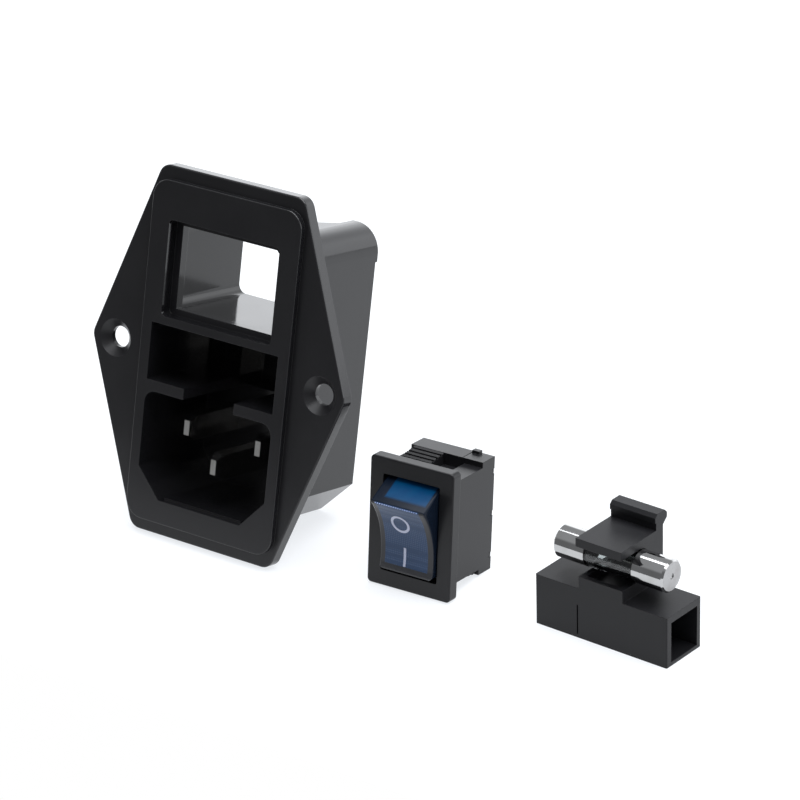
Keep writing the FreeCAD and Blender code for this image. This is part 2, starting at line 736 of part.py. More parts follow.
well = sketch_on(case, "XY_Plane")
draw_box(well, "-rocker_opening_width / 2", "rocker_opening_width / 2",
         "-rocker_opening_height / 2", "rocker_opening_height / 2")
cut(case, well, "rocker_well_depth")
well_side = size("rocker_opening_width") / 2
well_corners = edges_along(case.Shape, 2, lambda point: near(abs(point.x), well_side))
soften(case, well_corners, "opening_corner_radius")
chamber = sketch_on(case, "XY_Plane", "-rocker_well_depth")
draw_box(chamber, "-chamber_width / 2", "chamber_width / 2", "-chamber_height / 2", "chamber_height / 2")
cut(case, chamber, "case_depth - rocker_well_depth")
base_seat = sketch_on(case, "XY_Plane", "-case_depth")
draw_box(base_seat, "-base_width / 2", "base_width / 2", "-base_height / 2", "base_height / 2")
cut(case, base_seat, "base_thickness", backwards=True)
sockets = sketch_on(case, "YZ_Plane")
draw_circle(sockets, "0", "-pivot_depth", "pivot_radius + pivot_clearance")
cut(case, sockets, "rocker_width + 2 * (pivot_length + pivot_clearance)", both_sides=True)

# Base plate that closes the case and carries the three blades
BASE_FACE = "(case_depth - base_thickness)"
BLADES = {"common_terminal": "0", "load_terminal": "blade_pitch", "lamp_terminal": "-blade_pitch"}
base = new_body("switch_base")
plate = sketch_on(base, "XY_Plane", f"-{BASE_FACE}")
draw_box(plate, "-base_width / 2", "base_width / 2", "-base_height / 2", "base_height / 2")
grow(base, plate, "base_thickness", backwards=True)
blade_slots = sketch_on(base, "XY_Plane", f"-{BASE_FACE}")
for middle in BLADES.values():
    draw_box(blade_slots, "-blade_thickness / 2", "blade_thickness / 2",
             f"{middle} - blade_width / 2", f"{middle} + blade_width / 2")
cut(base, blade_slots, "base_thickness")

# Blades: the common one carries the lever in a notch, the outer two have a foot inside
LEVER_AXIS = "(lever_depth + lever_thickness)"
COMMON_TOP = f"({LEVER_AXIS} + lever_rock_room)"
FOOT_FACE = f"({BASE_FACE} - foot_thickness)"
for label, middle in BLADES.items():
    terminal = new_body(label)
    top = COMMON_TOP if label == "common_terminal" else BASE_FACE
    blade = sketch_on(terminal, "XY_Plane", f"-{top}")
    draw_box(blade, "-blade_thickness / 2", "blade_thickness / 2",
             f"{middle} - blade_width / 2", f"{middle} + blade_width / 2")
    grow(terminal, blade, f"case_depth + blade_length - {top}", backwards=True)
    if label == "common_terminal":
        notch_cut = sketch_on(terminal, "YZ_Plane")
        draw_circle(notch_cut, "0", f"-{LEVER_AXIS}", "lever_hinge_radius + lever_hinge_clearance")
        cut(terminal, notch_cut, "2 * blade_thickness", both_sides=True)
    else:
        foot = sketch_on(terminal, "XY_Plane", f"-{FOOT_FACE}")
        outer = "chamber_height / 2" if label == "load_terminal" else "-chamber_height / 2"
        inner = f"{middle} / 2"
        draw_box(foot, "-lever_width / 2", "lever_width / 2", inner, outer)
        grow(terminal, foot, "foot_thickness", backwards=True)
    eye = sketch_on(terminal, "YZ_Plane")
    draw_circle(eye, middle, "blade_width / 2 - case_depth - blade_length", "blade_hole_radius")
    cut(terminal, eye, "2 * blade_thickness", both_sides=True)
    blade_end = -size("case_depth") - size("blade_length")
    blade_corners = edges_along(terminal.Shape, 0, lambda point: near(point.z, blade_end))
    soften(terminal, blade_corners, "blade_thickness", "Chamfer")

# Contact lever, drawn level about its hinge, with a round ridge that sits in the notch
lever = new_body("contact_lever")
strip = sketch_on(lever, "YZ_Plane")
draw_box(strip, "-lever_tail", "lever_arm", "0", "lever_thickness")
grow(lever, strip, "lever_width", both_sides=True)
ridge = sketch_on(lever, "YZ_Plane")
draw_circle(ridge, "0", "0", "lever_hinge_radius")
grow(lever, ridge, "lever_width", both_sides=True)

BUTTON_PLACE = "(lever_arm - lever_button_inset)"
moving_button = new_body("moving_contact")
disc = sketch_on(moving_button, "XY_Plane")
draw_circle(disc, "0", BUTTON_PLACE, "contact_button_radius")
grow(moving_button, disc, "contact_button_height", backwards=True)

# The fixed button rises from the foot to meet the lowest point of the tilted one
BUTTON_MEET = (f"({LEVER_AXIS} + ({BUTTON_PLACE} + contact_button_radius) * sin(lever_tilt)"
               " + contact_button_height * cos(lever_tilt) + contact_button_gap)")
fixed_button = new_body("fixed_contact")
anvil = sketch_on(fixed_button, "XY_Plane", f"-{FOOT_FACE}")
draw_circle(anvil, "0", f"{BUTTON_PLACE} * cos(lever_tilt)", "contact_button_radius")
grow(fixed_button, anvil, f"{FOOT_FACE} - {BUTTON_MEET}")

# Rocker: one clear blue moulding, drawn level about its pivot
rocker = new_body("rocker")
profile = sketch_on(rocker, "YZ_Plane")
draw_outline(profile, [
    ("-rocker_end_half", "rocker_crown"),
    ("rocker_end_half", "rocker_crown"),
    ("rocker_root_half", "0"),
    ("rocker_root_half", "-rocker_skirt"),
    ("-rocker_root_half", "-rocker_skirt"),
    ("-rocker_root_half", "0"),
])
grow(rocker, profile, "rocker_width", both_sides=True)
dish = sketch_on(rocker, "YZ_Plane")
DISH_RADIUS = "((rocker_end_half ^ 2 + rocker_face_sag ^ 2) / (2 * rocker_face_sag))"
draw_circle(dish, "0", f"rocker_crown - rocker_face_sag + {DISH_RADIUS}", DISH_RADIUS)
cut(rocker, dish, "2 * rocker_width", both_sides=True)
rocker_side = size("rocker_width") / 2
rocker_crown = size("rocker_crown")
crown_edges = edges_along(rocker.Shape, 0, lambda point: near(point.z, rocker_crown))
soften(rocker, crown_edges, "rocker_edge_round")
side_edges = [name for place in (-rocker_side, rocker_side)
              for name in edges_where(rocker.Shape, lambda point: near(point.x, place) and point.z > -0.01)]
soften(rocker, side_edges, "rocker_edge_round")
hollow = sketch_on(rocker, "YZ_Plane")
HOLLOW_ROOF = "(rocker_crown - rocker_face_sag - rocker_wall)"
draw_outline(hollow, [
    ("-rocker_root_half + rocker_wall", "-rocker_skirt"),
    ("rocker_root_half - rocker_wall", "-rocker_skirt"),
    ("rocker_root_half - rocker_wall", "0"),
    ("rocker_end_half - rocker_wall / 2", HOLLOW_ROOF),
    ("rocker_wall / 2 - rocker_end_half", HOLLOW_ROOF),
    ("-rocker_root_half + rocker_wall", "0"),
])
cut(rocker, hollow, "rocker_width - 2 * rocker_wall", both_sides=True)
post = sketch_on(rocker, "XY_Plane", f"{HOLLOW_ROOF}")
draw_box(post, "-post_half_width", "post_half_width", "-post_half_width", "post_half_width")
grow(rocker, post, f"{HOLLOW_ROOF} + post_reach", backwards=True)
bore = sketch_on(rocker, "XY_Plane", "-post_reach")
draw_circle(bore, "0", "0", "plunger_radius + plunger_clearance")
cut(rocker, bore, "bore_depth", backwards=True)
for side, backwards in (("", False), ("-", True)):
    stub = sketch_on(rocker, "YZ_Plane", f"{side}(rocker_width / 2 - rocker_wall / 2)")
    draw_circle(stub, "0", "0", "pivot_radius")
    grow(rocker, stub, "pivot_length + rocker_wall / 2", backwards=backwards)

# Plunger and its spring, which ride in the bore of the rocker
TIP_REACH = "(lever_depth - pivot_depth - plunger_gap)"
plunger = new_body("rocker_plunger")
stem = sketch_on(plunger, "XY_Plane", f"-{TIP_REACH}")
draw_circle(stem, "0", "0", "plunger_radius")
grow(plunger, stem, "plunger_length")
tip_reach = size("lever_depth") - size("pivot_depth") - size("plunger_gap")
tip_rim = edges_where(plunger.Shape, lambda point: near(point.z, -tip_reach))
soften(plunger, tip_rim, "plunger_radius / 2", "Chamfer")

spring_foot = (size("plunger_length") + size("plunger_gap") + size("pivot_depth") - size("lever_depth")
               + size("spring_clearance") + size("spring_wire") / 2)
spring_head = (size("bore_depth") - size("post_reach") - size("spring_clearance")
               - size("spring_wire") / 2)
spring_radius = size("plunger_radius") - size("spring_wire") / 2 - size("spring_clearance")
RUNS_PER_TURN = 8
RING_CORNERS = 6
runs = int(size("spring_turns") * RUNS_PER_TURN)
spring_points = [
    Vector(spring_radius * math.cos(2 * math.pi * run / RUNS_PER_TURN),
           spring_radius * math.sin(2 * math.pi * run / RUNS_PER_TURN),
           spring_foot + (spring_head - spring_foot) * run / runs)
    for run in range(runs + 1)
]
facing_wire = Rotation(Vector(0, 0, 1), spring_points[1] - spring_points[0])
wire_ring = [
    spring_points[0] + facing_wire.multVec(size("spring_wire") / 2 * Vector(math.cos(turn), math.sin(turn), 0))
    for turn in [2 * math.pi * corner / RING_CORNERS for corner in range(RING_CORNERS + 1)]
]
MITRED = 1
spring = doc.addObject("Part::Feature", "plunger_spring")
spring.Shape = Part.makePolygon(spring_points).makePipeShell([Part.makePolygon(wire_ring)],
                                                             True, False, MITRED)
parts["plunger_spring"] = spring

# Glow lamp below one end of the rocker, wired through a resistor to the load blade
lamp = new_body("neon_lamp")
bulb = sketch_on(lamp, "YZ_Plane")
draw_circle(bulb, "-lamp_drop", "-lamp_depth", "lamp_radius")
grow(lamp, bulb, "lamp_length", both_sides=True)
lamp_ends = edges_where(lamp.Shape, lambda point: near(abs(point.x), size("lamp_length") / 2))
soften(lamp, lamp_ends, "lamp_end_bevel", "Chamfer")
LEAD_DEPTH = f"({FOOT_FACE} - lead_radius)"
for across, reach in (("-short_lead_across", FOOT_FACE), ("long_lead_across", LEAD_DEPTH)):
    lead = sketch_on(lamp, "XY_Plane", "-lamp_depth")
    draw_circle(lead, across, "-lamp_drop", "lead_radius")
    grow(lamp, lead, f"{reach} - lamp_depth", backwards=True)

resistor = new_body("lamp_resistor")
barrel = sketch_on(resistor, "XZ_Plane")
draw_circle(barrel, "long_lead_across", f"-{LEAD_DEPTH}", "resistor_radius")
grow(resistor, barrel, "resistor_length", both_sides=True)
near_lead = sketch_on(resistor, "XZ_Plane")
draw_circle(near_lead, "long_lead_across", f"-{LEAD_DEPTH}", "lead_radius")
grow(resistor, near_lead, "lamp_drop - lead_radius")
far_lead = sketch_on(resistor, "XZ_Plane")
draw_circle(far_lead, "long_lead_across", f"-{LEAD_DEPTH}", "lead_radius")
grow(resistor, far_lead, "lamp_drop", backwards=True)
cross_lead = sketch_on(resistor, "YZ_Plane", "long_lead_across")
draw_circle(cross_lead, "lamp_drop", f"-{LEAD_DEPTH}", "lead_radius")
grow(resistor, cross_lead, "long_lead_across - contact_button_radius - lead_radius", backwards=True)


# Fuse drawer, drawn standing on its face: x along it, y to its back and z up to its clip
FUSE_MIDDLE = "(drawer_length / 2)"
CLIP_LEFT = f"({FUSE_MIDDLE} - clip_length / 2)"
drawer = new_body("fuse_drawer")
block = sketch_on(drawer, "XY_Plane")
draw_box(block, "0", "drawer_length", "0", "drawer_depth")
grow(drawer, block, "drawer_height")
soften(drawer, edges_along(drawer.Shape, 2, lambda point: True), "drawer_edge_round")
bed = sketch_on(drawer, "XY_Plane", "drawer_height")
draw_box(bed, f"{FUSE_MIDDLE} - bed_length / 2", f"{FUSE_MIDDLE} + bed_length / 2", "0", "drawer_depth")
grow(drawer, bed, "bed_height")
trough = sketch_on(drawer, "XY_Plane", "drawer_height + bed_height")
draw_box(trough, f"{FUSE_MIDDLE} - bed_length / 2 + bed_wall",
         f"{FUSE_MIDDLE} + bed_length / 2 - bed_wall", "bed_wall", "drawer_depth - bed_wall")
cut(drawer, trough, "bed_trough_depth")

# Clip and catch: a springy arm up the back, a plate over the fuse and a hooked rim
ARM_FRONT = "(drawer_depth - arm_overlap)"
ARM_BACK = "(drawer_depth + arm_thickness)"
NECK_FRONT = f"({ARM_BACK} - catch_neck_thickness)"
clip = sketch_on(drawer, "YZ_Plane", FUSE_MIDDLE)
draw_outline(clip, [
    (ARM_FRONT, "0"),
    (ARM_BACK, "0"),
    (ARM_BACK, "catch_low - catch_back_rise"),
    (f"{ARM_BACK} + catch_back_reach", "catch_low"),
    (f"{ARM_BACK} + catch_back_reach", "catch_top - catch_bevel"),
    (f"{ARM_BACK} + catch_back_reach - catch_bevel", "catch_top"),
    (f"{NECK_FRONT} - catch_front_reach + catch_bevel", "catch_top"),
    (f"{NECK_FRONT} - catch_front_reach", "catch_top - catch_bevel"),
    (f"{NECK_FRONT} - catch_front_reach", "catch_low"),
    (NECK_FRONT, "catch_low"),
    (NECK_FRONT, "clip_top"),
    ("-clip_overhang", "clip_top"),
    ("-clip_overhang", "clip_under"),
    ("fuse_drawer_inset", "clip_under"),
    ("fuse_drawer_inset", "fuse_height"),
    (ARM_FRONT, "fuse_height"),
])
grow(drawer, clip, "clip_length", both_sides=True)
grip = sketch_on(drawer, "YZ_Plane", FUSE_MIDDLE)
draw_circle(grip, "fuse_drawer_inset", "fuse_height", "fuse_glass_radius + grip_clearance")
cut(drawer, grip, "2 * clip_length", both_sides=True)

# Pocket for the spare fuse, open at the right-hand end, and a slit beside the bed
spare = sketch_on(drawer, "YZ_Plane", "drawer_length")
draw_box(spare, "spare_front_wall", "spare_front_wall + spare_side",
         "spare_floor_wall", "spare_floor_wall + spare_side")
cut(drawer, spare, "spare_depth")
slit = sketch_on(drawer, "XZ_Plane")
draw_box(slit, f"{CLIP_LEFT} - slit_width", CLIP_LEFT, "spare_floor_wall", "slit_height")
cut(drawer, slit, "slit_depth")

# Glass fuse: tube, two plated caps and the wire between them
glass = new_body("fuse_glass")
tube = sketch_on(glass, "YZ_Plane", FUSE_MIDDLE)
draw_circle(tube, "fuse_drawer_inset", "fuse_height", "fuse_glass_radius")
grow(glass, tube, "fuse_length - 2 * fuse_cap_end", both_sides=True)
tube_bore = sketch_on(glass, "YZ_Plane", FUSE_MIDDLE)
draw_circle(tube_bore, "fuse_drawer_inset", "fuse_height", "fuse_glass_radius - fuse_glass_wall")
cut(glass, tube_bore, "fuse_length", both_sides=True)
for label, side, outwards in (("fuse_cap_left", "-", True), ("fuse_cap_right", "+", False)):
    cap = new_body(label)
    END = f"({FUSE_MIDDLE} {side} fuse_length / 2)"
    disc = sketch_on(cap, "YZ_Plane", END)
    draw_circle(disc, "fuse_drawer_inset", "fuse_height", "fuse_cap_radius")
    grow(cap, disc, "fuse_cap_length", backwards=not outwards)
    end_place = (size("drawer_length") + (-1 if outwards else 1) * size("fuse_length")) / 2
    end_rim = edges_where(cap.Shape, lambda point: near(point.x, end_place))
    soften(cap, end_rim, "fuse_cap_bevel", "Chamfer")
    inner_end = "-" if side == "+" else "+"
    seat = sketch_on(cap, "YZ_Plane", f"{END} {inner_end} fuse_cap_length")
    draw_circle(seat, "fuse_drawer_inset", "fuse_height", "fuse_glass_radius")
    cut(cap, seat, "fuse_cap_length - fuse_cap_end", backwards=not outwards)
    dimple = sketch_on(cap, "YZ_Plane", END)
    draw_circle(dimple, "fuse_drawer_inset", "fuse_height", "fuse_dimple_radius")
    cut(cap, dimple, "fuse_dimple_depth", backwards=outwards)
wire = new_body("fuse_wire")
strand = sketch_on(wire, "YZ_Plane", FUSE_MIDDLE)
draw_circle(strand, "fuse_drawer_inset", "fuse_height", "fuse_wire_radius")
grow(wire, strand, "fuse_length - 2 * fuse_cap_end", both_sides=True)


# Assembly. A group is set down by its own lean and turn, with its lowest point on the surface
def lean_back(height, depth):
    """Give the angle at which a front that overhangs its back comes to rest on both."""
    return math.degrees(math.atan2(height, depth))


def turned(axis, angle):
    return Placement(Vector(0, 0, 0), Rotation(axis, angle))


def shifted(x, y, z):
    return Placement(Vector(x, y, z), Rotation())


ACROSS = Vector(1, 0, 0)
UPRIGHT = Vector(0, 0, 1)
FACING = turned(ACROSS, 90)

housing_lean = lean_back(size("flange_half_height") - size("body_bottom"),
                         size("body_depth") - size("flange_thickness"))
switch_lean = lean_back((size("bezel_height") - size("case_block_height")) / 2,
                        size("case_depth") - size("bezel_thickness"))
switch_spot = shifted(size("switch_place_across"), size("switch_place_back"), 0)
drawer_spot = shifted(size("drawer_place_across"), size("drawer_place_back"), 0)

GROUPS = [
    (turned(ACROSS, -housing_lean) * FACING,
     ["housing", "line_pin", "neutral_pin", "earth_pin", "fuse_feed_contact", "fuse_load_contact"]),
    (switch_spot * turned(UPRIGHT, size("switch_turn")) * turned(ACROSS, -switch_lean) * FACING,
     ["switch_case", "switch_base", "common_terminal", "load_terminal", "lamp_terminal",
      "contact_lever", "moving_contact", "fixed_contact", "rocker", "rocker_plunger",
      "plunger_spring", "neon_lamp", "lamp_resistor"]),
    (drawer_spot * turned(UPRIGHT, size("drawer_turn")),
     ["fuse_drawer", "fuse_glass", "fuse_cap_left", "fuse_cap_right", "fuse_wire"]),
]

# The pieces that swing are drawn level about their own pivots and rest at one end of their swing
pivot = shifted(0, 0, -size("pivot_depth")) * turned(ACROSS, size("rocker_tilt"))
hinge = shifted(0, 0, -size("lever_depth") - size("lever_thickness")) * turned(ACROSS, -size("lever_tilt"))
own_place = {
    "rocker": pivot,
    "rocker_plunger": pivot,
    "plunger_spring": pivot,
    "contact_lever": hinge,
    "moving_contact": hinge,
}


def box_around(labels):
    """Give the tight box around some finished pieces."""
    boxes = [parts[label].Shape.optimalBoundingBox(False) for label in labels]
    whole = boxes[0]
    for other in boxes[1:]:
        whole.add(other)
    return whole


for stand, labels in GROUPS:
    for label in labels:
        parts[label].Placement = stand * own_place.get(label, Placement())
    doc.recompute()
    down = -box_around(labels).ZMin
    for label in labels:
        parts[label].Placement = shifted(0, 0, down) * parts[label].Placement
doc.recompute()

everything = box_around(parts)
centring = shifted(-everything.Center.x, -everything.Center.y, 0)
for piece in parts.values():
    piece.Placement = centring * piece.Placement
doc.recompute()

for item in doc.Objects:
    if "Invalid" in item.State or "Error" in item.State:
        raise RuntimeError(f"{item.Label} did not compute")

os.makedirs("parts", exist_ok=True)
for label, piece in parts.items():
    if piece.Shape.isNull() or not piece.Shape.isValid():
        raise RuntimeError(f"{label} is not a sound shape")
    piece.Shape.exportStep(f"parts/{label}.step")

final_box = box_around(parts)
print("box", [round(number, 3) for number in (final_box.XMin, final_box.XMax, final_box.YMin,
                                              final_box.YMax, final_box.ZMin, final_box.ZMax)])
print("moved to the middle by", round(centring.Base.x, 3), round(centring.Base.y, 3))
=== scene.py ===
import json
import math

import bmesh
import bpy
from mathutils import Matrix, Vector


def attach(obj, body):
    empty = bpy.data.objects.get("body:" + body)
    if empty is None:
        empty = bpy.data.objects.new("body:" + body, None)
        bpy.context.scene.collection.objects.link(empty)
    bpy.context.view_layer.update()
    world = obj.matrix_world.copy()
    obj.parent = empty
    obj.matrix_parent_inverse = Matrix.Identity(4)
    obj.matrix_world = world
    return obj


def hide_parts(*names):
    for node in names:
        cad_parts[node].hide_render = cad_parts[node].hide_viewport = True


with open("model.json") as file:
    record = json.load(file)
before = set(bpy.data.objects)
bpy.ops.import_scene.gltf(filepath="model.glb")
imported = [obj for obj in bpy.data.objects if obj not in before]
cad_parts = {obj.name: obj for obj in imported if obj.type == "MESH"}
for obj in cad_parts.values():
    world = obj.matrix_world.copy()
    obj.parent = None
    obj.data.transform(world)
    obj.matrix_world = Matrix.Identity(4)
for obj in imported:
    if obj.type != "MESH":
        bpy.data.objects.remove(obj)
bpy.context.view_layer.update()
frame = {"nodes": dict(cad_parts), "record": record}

nodes = frame["nodes"]
record = frame["record"]
scene = bpy.context.scene
MM = 0.001


# The table: a sheet of white acrylic that the three groups stand on. It glows from
# below, as a catalogue table does, so that the shadows on it stay faint.
TABLE_SIDE = 1.5
TABLE_NEAR = -0.06
TABLE_FAR = 1.6
TABLE_CELLS = 8
ACRYLIC_WHITE = (0.26, 0.26, 0.26, 1)
ACRYLIC_GLOW = 0.8
ACRYLIC_GLOW_COLOUR = (0.94, 0.965, 1, 1)
ACRYLIC_SHINE = 0.1
ACRYLIC_ROUGHNESS = (0.78, 0.9)
ACRYLIC_FLECKS = 900.0


def new_material(name):
    """Start a node material and hand it back with its node tree and its main shader."""
    material = bpy.data.materials.new(name)
    material.use_nodes = True
    tree = material.node_tree
    return material, tree, tree.nodes["Principled BSDF"]


def feed(tree, given, socket):
    """Give a socket a plain value, or link another socket to it."""
    if isinstance(given, (int, float, tuple)):
        socket.default_value = given
    else:
        tree.links.new(given, socket)


def ramped(tree, value, low, high, start, end, smooth=False):
    """Map a value from one range to another."""
    ramp = tree.nodes.new("ShaderNodeMapRange")
    ramp.interpolation_type = "SMOOTHSTEP" if smooth else "LINEAR"
    feed(tree, value, ramp.inputs["Value"])
    for name, given in (("From Min", low), ("From Max", high), ("To Min", start), ("To Max", end)):
        feed(tree, given, ramp.inputs[name])
    return ramp.outputs["Result"]


def mesh_piece(name, shape, material):
    """Turn a finished bmesh into an object of the scene."""
    mesh = bpy.data.meshes.new(name)
    shape.to_mesh(mesh)
    shape.free()
    piece = bpy.data.objects.new(name, mesh)
    scene.collection.objects.link(piece)
    mesh.materials.append(material)
    return piece


acrylic, acrylic_tree, acrylic_shader = new_material("white acrylic")
flecks = acrylic_tree.nodes.new("ShaderNodeTexNoise")
flecks.inputs["Scale"].default_value = ACRYLIC_FLECKS
fleck_roughness = ramped(acrylic_tree, flecks.outputs["Fac"], 0.0, 1.0, *ACRYLIC_ROUGHNESS)
acrylic_tree.links.new(fleck_roughness, acrylic_shader.inputs["Roughness"])
acrylic_shader.inputs["Base Color"].default_value = ACRYLIC_WHITE
acrylic_shader.inputs["Specular IOR Level"].default_value = ACRYLIC_SHINE
acrylic_shader.inputs["Emission Color"].default_value = ACRYLIC_GLOW_COLOUR
acrylic_shader.inputs["Emission Strength"].default_value = ACRYLIC_GLOW

table_shape = bmesh.new()
bmesh.ops.create_grid(table_shape, x_segments=TABLE_CELLS, y_segments=TABLE_CELLS, size=1.0)
for corner in table_shape.verts:
    corner.co.x *= TABLE_SIDE
    corner.co.y = TABLE_NEAR + (TABLE_FAR - TABLE_NEAR) * (corner.co.y + 1) / 2
table = mesh_piece("table_sheet", table_shape, acrylic)


# The light: a bright wall of daylight behind the table, a dim room in front of it,
# a softbox overhead and a smaller one at the right. The camera sees white all round.
WALL_LIGHT = 2.1
WALL_EDGE = (-0.15, 0.55)
ROOM_LIGHT = 0.24
SKY_LIGHT = 0.5
SKY_EDGE = (0.31, 0.53)
ROOM_TINT = (0.95, 0.97, 1.0)

room = bpy.data.worlds.new("studio")
room.use_nodes = True
scene.world = room
room_tree = room.node_tree
room_tree.nodes.clear()


def sum_of(tree, operation, first, second=0.0):
    """Add one sum to a node tree; what goes in are sockets or plain numbers."""
    step = tree.nodes.new("ShaderNodeMath")
    step.operation = operation
    feed(tree, first, step.inputs[0])
    feed(tree, second, step.inputs[1])
    return step.outputs["Value"]


def room_light(strength, colour):
    """Make one of the room's two lights."""
    light = room_tree.nodes.new("ShaderNodeBackground")
    light.inputs["Color"].default_value = (*colour, 1)
    feed(room_tree, strength, light.inputs["Strength"])
    return light.outputs["Background"]


direction = room_tree.nodes.new("ShaderNodeTexCoord")
split = room_tree.nodes.new("ShaderNodeSeparateXYZ")
room_tree.links.new(direction.outputs["Generated"], split.inputs["Vector"])
behind = ramped(room_tree, split.outputs["Y"], *WALL_EDGE, ROOM_LIGHT, WALL_LIGHT, smooth=True)
overhead = ramped(room_tree, split.outputs["Z"], *SKY_EDGE, 0.0, 1.0, smooth=True)
low_part = sum_of(room_tree, "MULTIPLY", behind, sum_of(room_tree, "SUBTRACT", 1.0, overhead))
high_part = sum_of(room_tree, "MULTIPLY", SKY_LIGHT, overhead)
seen = room_tree.nodes.new("ShaderNodeLightPath")
choice = room_tree.nodes.new("ShaderNodeMixShader")
room_out = room_tree.nodes.new("ShaderNodeOutputWorld")
room_tree.links.new(seen.outputs["Is Camera Ray"], choice.inputs[0])
room_tree.links.new(room_light(sum_of(room_tree, "ADD", low_part, high_part), ROOM_TINT), choice.inputs[1])
room_tree.links.new(room_light(1.0, (1, 1, 1)), choice.inputs[2])
room_tree.links.new(choice.outputs["Shader"], room_out.inputs["Surface"])


def softbox(name, place, aim, width, height, power):
    """Hang a square soft light and point it."""
    lamp = bpy.data.lights.new(name, "AREA")
    lamp.shape = "RECTANGLE"
    lamp.size = width
    lamp.size_y = height
    lamp.energy = power
    lamp.color = ROOM_TINT
    holder = bpy.data.objects.new(name, lamp)
    holder.location = place
    holder.rotation_euler = (Vector(aim) - Vector(place)).to_track_quat("-Z", "Y").to_euler()
    scene.collection.objects.link(holder)


softbox("softbox_overhead", place=(0.05, 0.12, 0.8), aim=(0, 0.02, 0), width=0.9, height=0.7, power=11.0)
softbox("softbox_right", place=(0.75, 0.05, 0.4), aim=(0, 0, 0.02), width=0.4, height=0.5, power=1.6)
scene.view_settings.view_transform = "Standard"


# The camera: a long lens on a tripod, in front of the group and a little above it,
# with the slight tilt of the photograph. Places are in millimetres in the row's frame.
LENS_MM = 178.4
SENSOR_MM = 36.0
NEAREST_SEEN = 0.01
CAMERA_PLACE = Vector((323.7, -443.5, 286.8))
CAMERA_AIM = Vector((-34.06, 44.1, 0.0))
CAMERA_TILT = math.radians(-1.65)

camera_data = bpy.data.cameras.new("camera")
camera_data.lens = LENS_MM
camera_data.sensor_width = SENSOR_MM
camera_data.clip_start = NEAREST_SEEN
camera = bpy.data.objects.new("camera", camera_data)
level_view = (CAMERA_AIM - CAMERA_PLACE).to_track_quat("-Z", "Y").to_matrix().to_4x4()
camera.matrix_world = (Matrix.Translation(CAMERA_PLACE * MM) @ level_view
                       @ Matrix.Rotation(CAMERA_TILT, 4, "Z"))
scene.collection.objects.link(camera)
scene.camera = camera


# Housing: one injection moulding in black heat-proof plastic, satin on the face and
# glossier in the tunnel. The mould leaves a faint cloudiness and a very fine grain.
CLOUD_SCALE = 85.0
CLOUD_EDGE = (0.35, 0.7)
SPECK_SCALE = 5200.0
SPECK_EDGE = (0.76, 0.82)
SPECK_COLOUR = (0.03, 0.03, 0.032, 1)
GRAIN_HEIGHT = 0.02 * MM
EDGE_SAMPLES = 6
HOUSING_EDGE = 0.1 * MM
HOUSING_LEAN = math.radians(12.67)
SATIN_DEPTH = 3.15 * MM
FACING_FRONT = 0.5


def add_socket(group, name, kind, incoming, start=None):
    """Give a node group one named input or output."""
    socket = group.interface.new_socket(name=name, in_out="INPUT" if incoming else "OUTPUT",
                                        socket_type="NodeSocket" + kind)
    if start is not None:
        socket.default_value = start


def object_noise(tree, space, scale, detail):
    """Add a noise that is fixed to the piece, with its scale given in cycles per metre."""
    noise = tree.nodes.new("ShaderNodeTexNoise")
    noise.inputs["Detail"].default_value = detail
    tree.links.new(space.outputs["Object"], noise.inputs["Vector"])
    feed(tree, scale, noise.inputs["Scale"])
    return noise.outputs["Fac"]


def blended(tree, share, first, second):
    """Mix two colours by a share."""
    mix = tree.nodes.new("ShaderNodeMix")
    mix.data_type = "RGBA"
    tree.links.new(share, mix.inputs["Factor"])
    for name, given in (("A", first), ("B", second)):
        feed(tree, given, next(item for item in mix.inputs if item.name == name and item.type == "RGBA"))
    return next(item for item in mix.outputs if item.type == "RGBA")


moulded_skin = bpy.data.node_groups.new("moulded skin", "ShaderNodeTree")
add_socket(moulded_skin, "Colour", "Color", True, (0.02, 0.02, 0.02, 1))
add_socket(moulded_skin, "Cloud Colour", "Color", True, (0.03, 0.03, 0.03, 1))
add_socket(moulded_skin, "Gloss Roughness", "Float", True, 0.3)
add_socket(moulded_skin, "Dull Roughness", "Float", True, 0.4)
add_socket(moulded_skin, "Grain", "Float", True, 3000.0)
add_socket(moulded_skin, "Colour", "Color", False)
add_socket(moulded_skin, "Roughness", "Float", False)
add_socket(moulded_skin, "Height", "Float", False)
skin_in = moulded_skin.nodes.new("NodeGroupInput")
skin_out = moulded_skin.nodes.new("NodeGroupOutput")
skin_space = moulded_skin.nodes.new("ShaderNodeTexCoord")
cloud_noise = object_noise(moulded_skin, skin_space, CLOUD_SCALE, 4.0)
cloud = ramped(moulded_skin, cloud_noise, *CLOUD_EDGE, 0.0, 1.0)
grain = object_noise(moulded_skin, skin_space, skin_in.outputs["Grain"], 2.0)
speck_noise = object_noise(moulded_skin, skin_space, SPECK_SCALE, 1.0)
specks = ramped(moulded_skin, speck_noise, *SPECK_EDGE, 0.0, 1.0)
clouded = blended(moulded_skin, cloud, skin_in.outputs["Colour"], skin_in.outputs["Cloud Colour"])
skin_roughness = ramped(moulded_skin, cloud, 0.0, 1.0, skin_in.outputs["Gloss Roughness"],
                        skin_in.outputs["Dull Roughness"])
moulded_skin.links.new(blended(moulded_skin, specks, clouded, SPECK_COLOUR), skin_out.inputs["Colour"])
moulded_skin.links.new(skin_roughness, skin_out.inputs["Roughness"])
moulded_skin.links.new(grain, skin_out.inputs["Height"])


def placed_group(tree, group, values):
    """Place a node group in a material with its own values."""
    node = tree.nodes.new("ShaderNodeGroup")
    node.node_tree = group
    for socket, given in values.items():
        node.inputs[socket].default_value = given
    return node


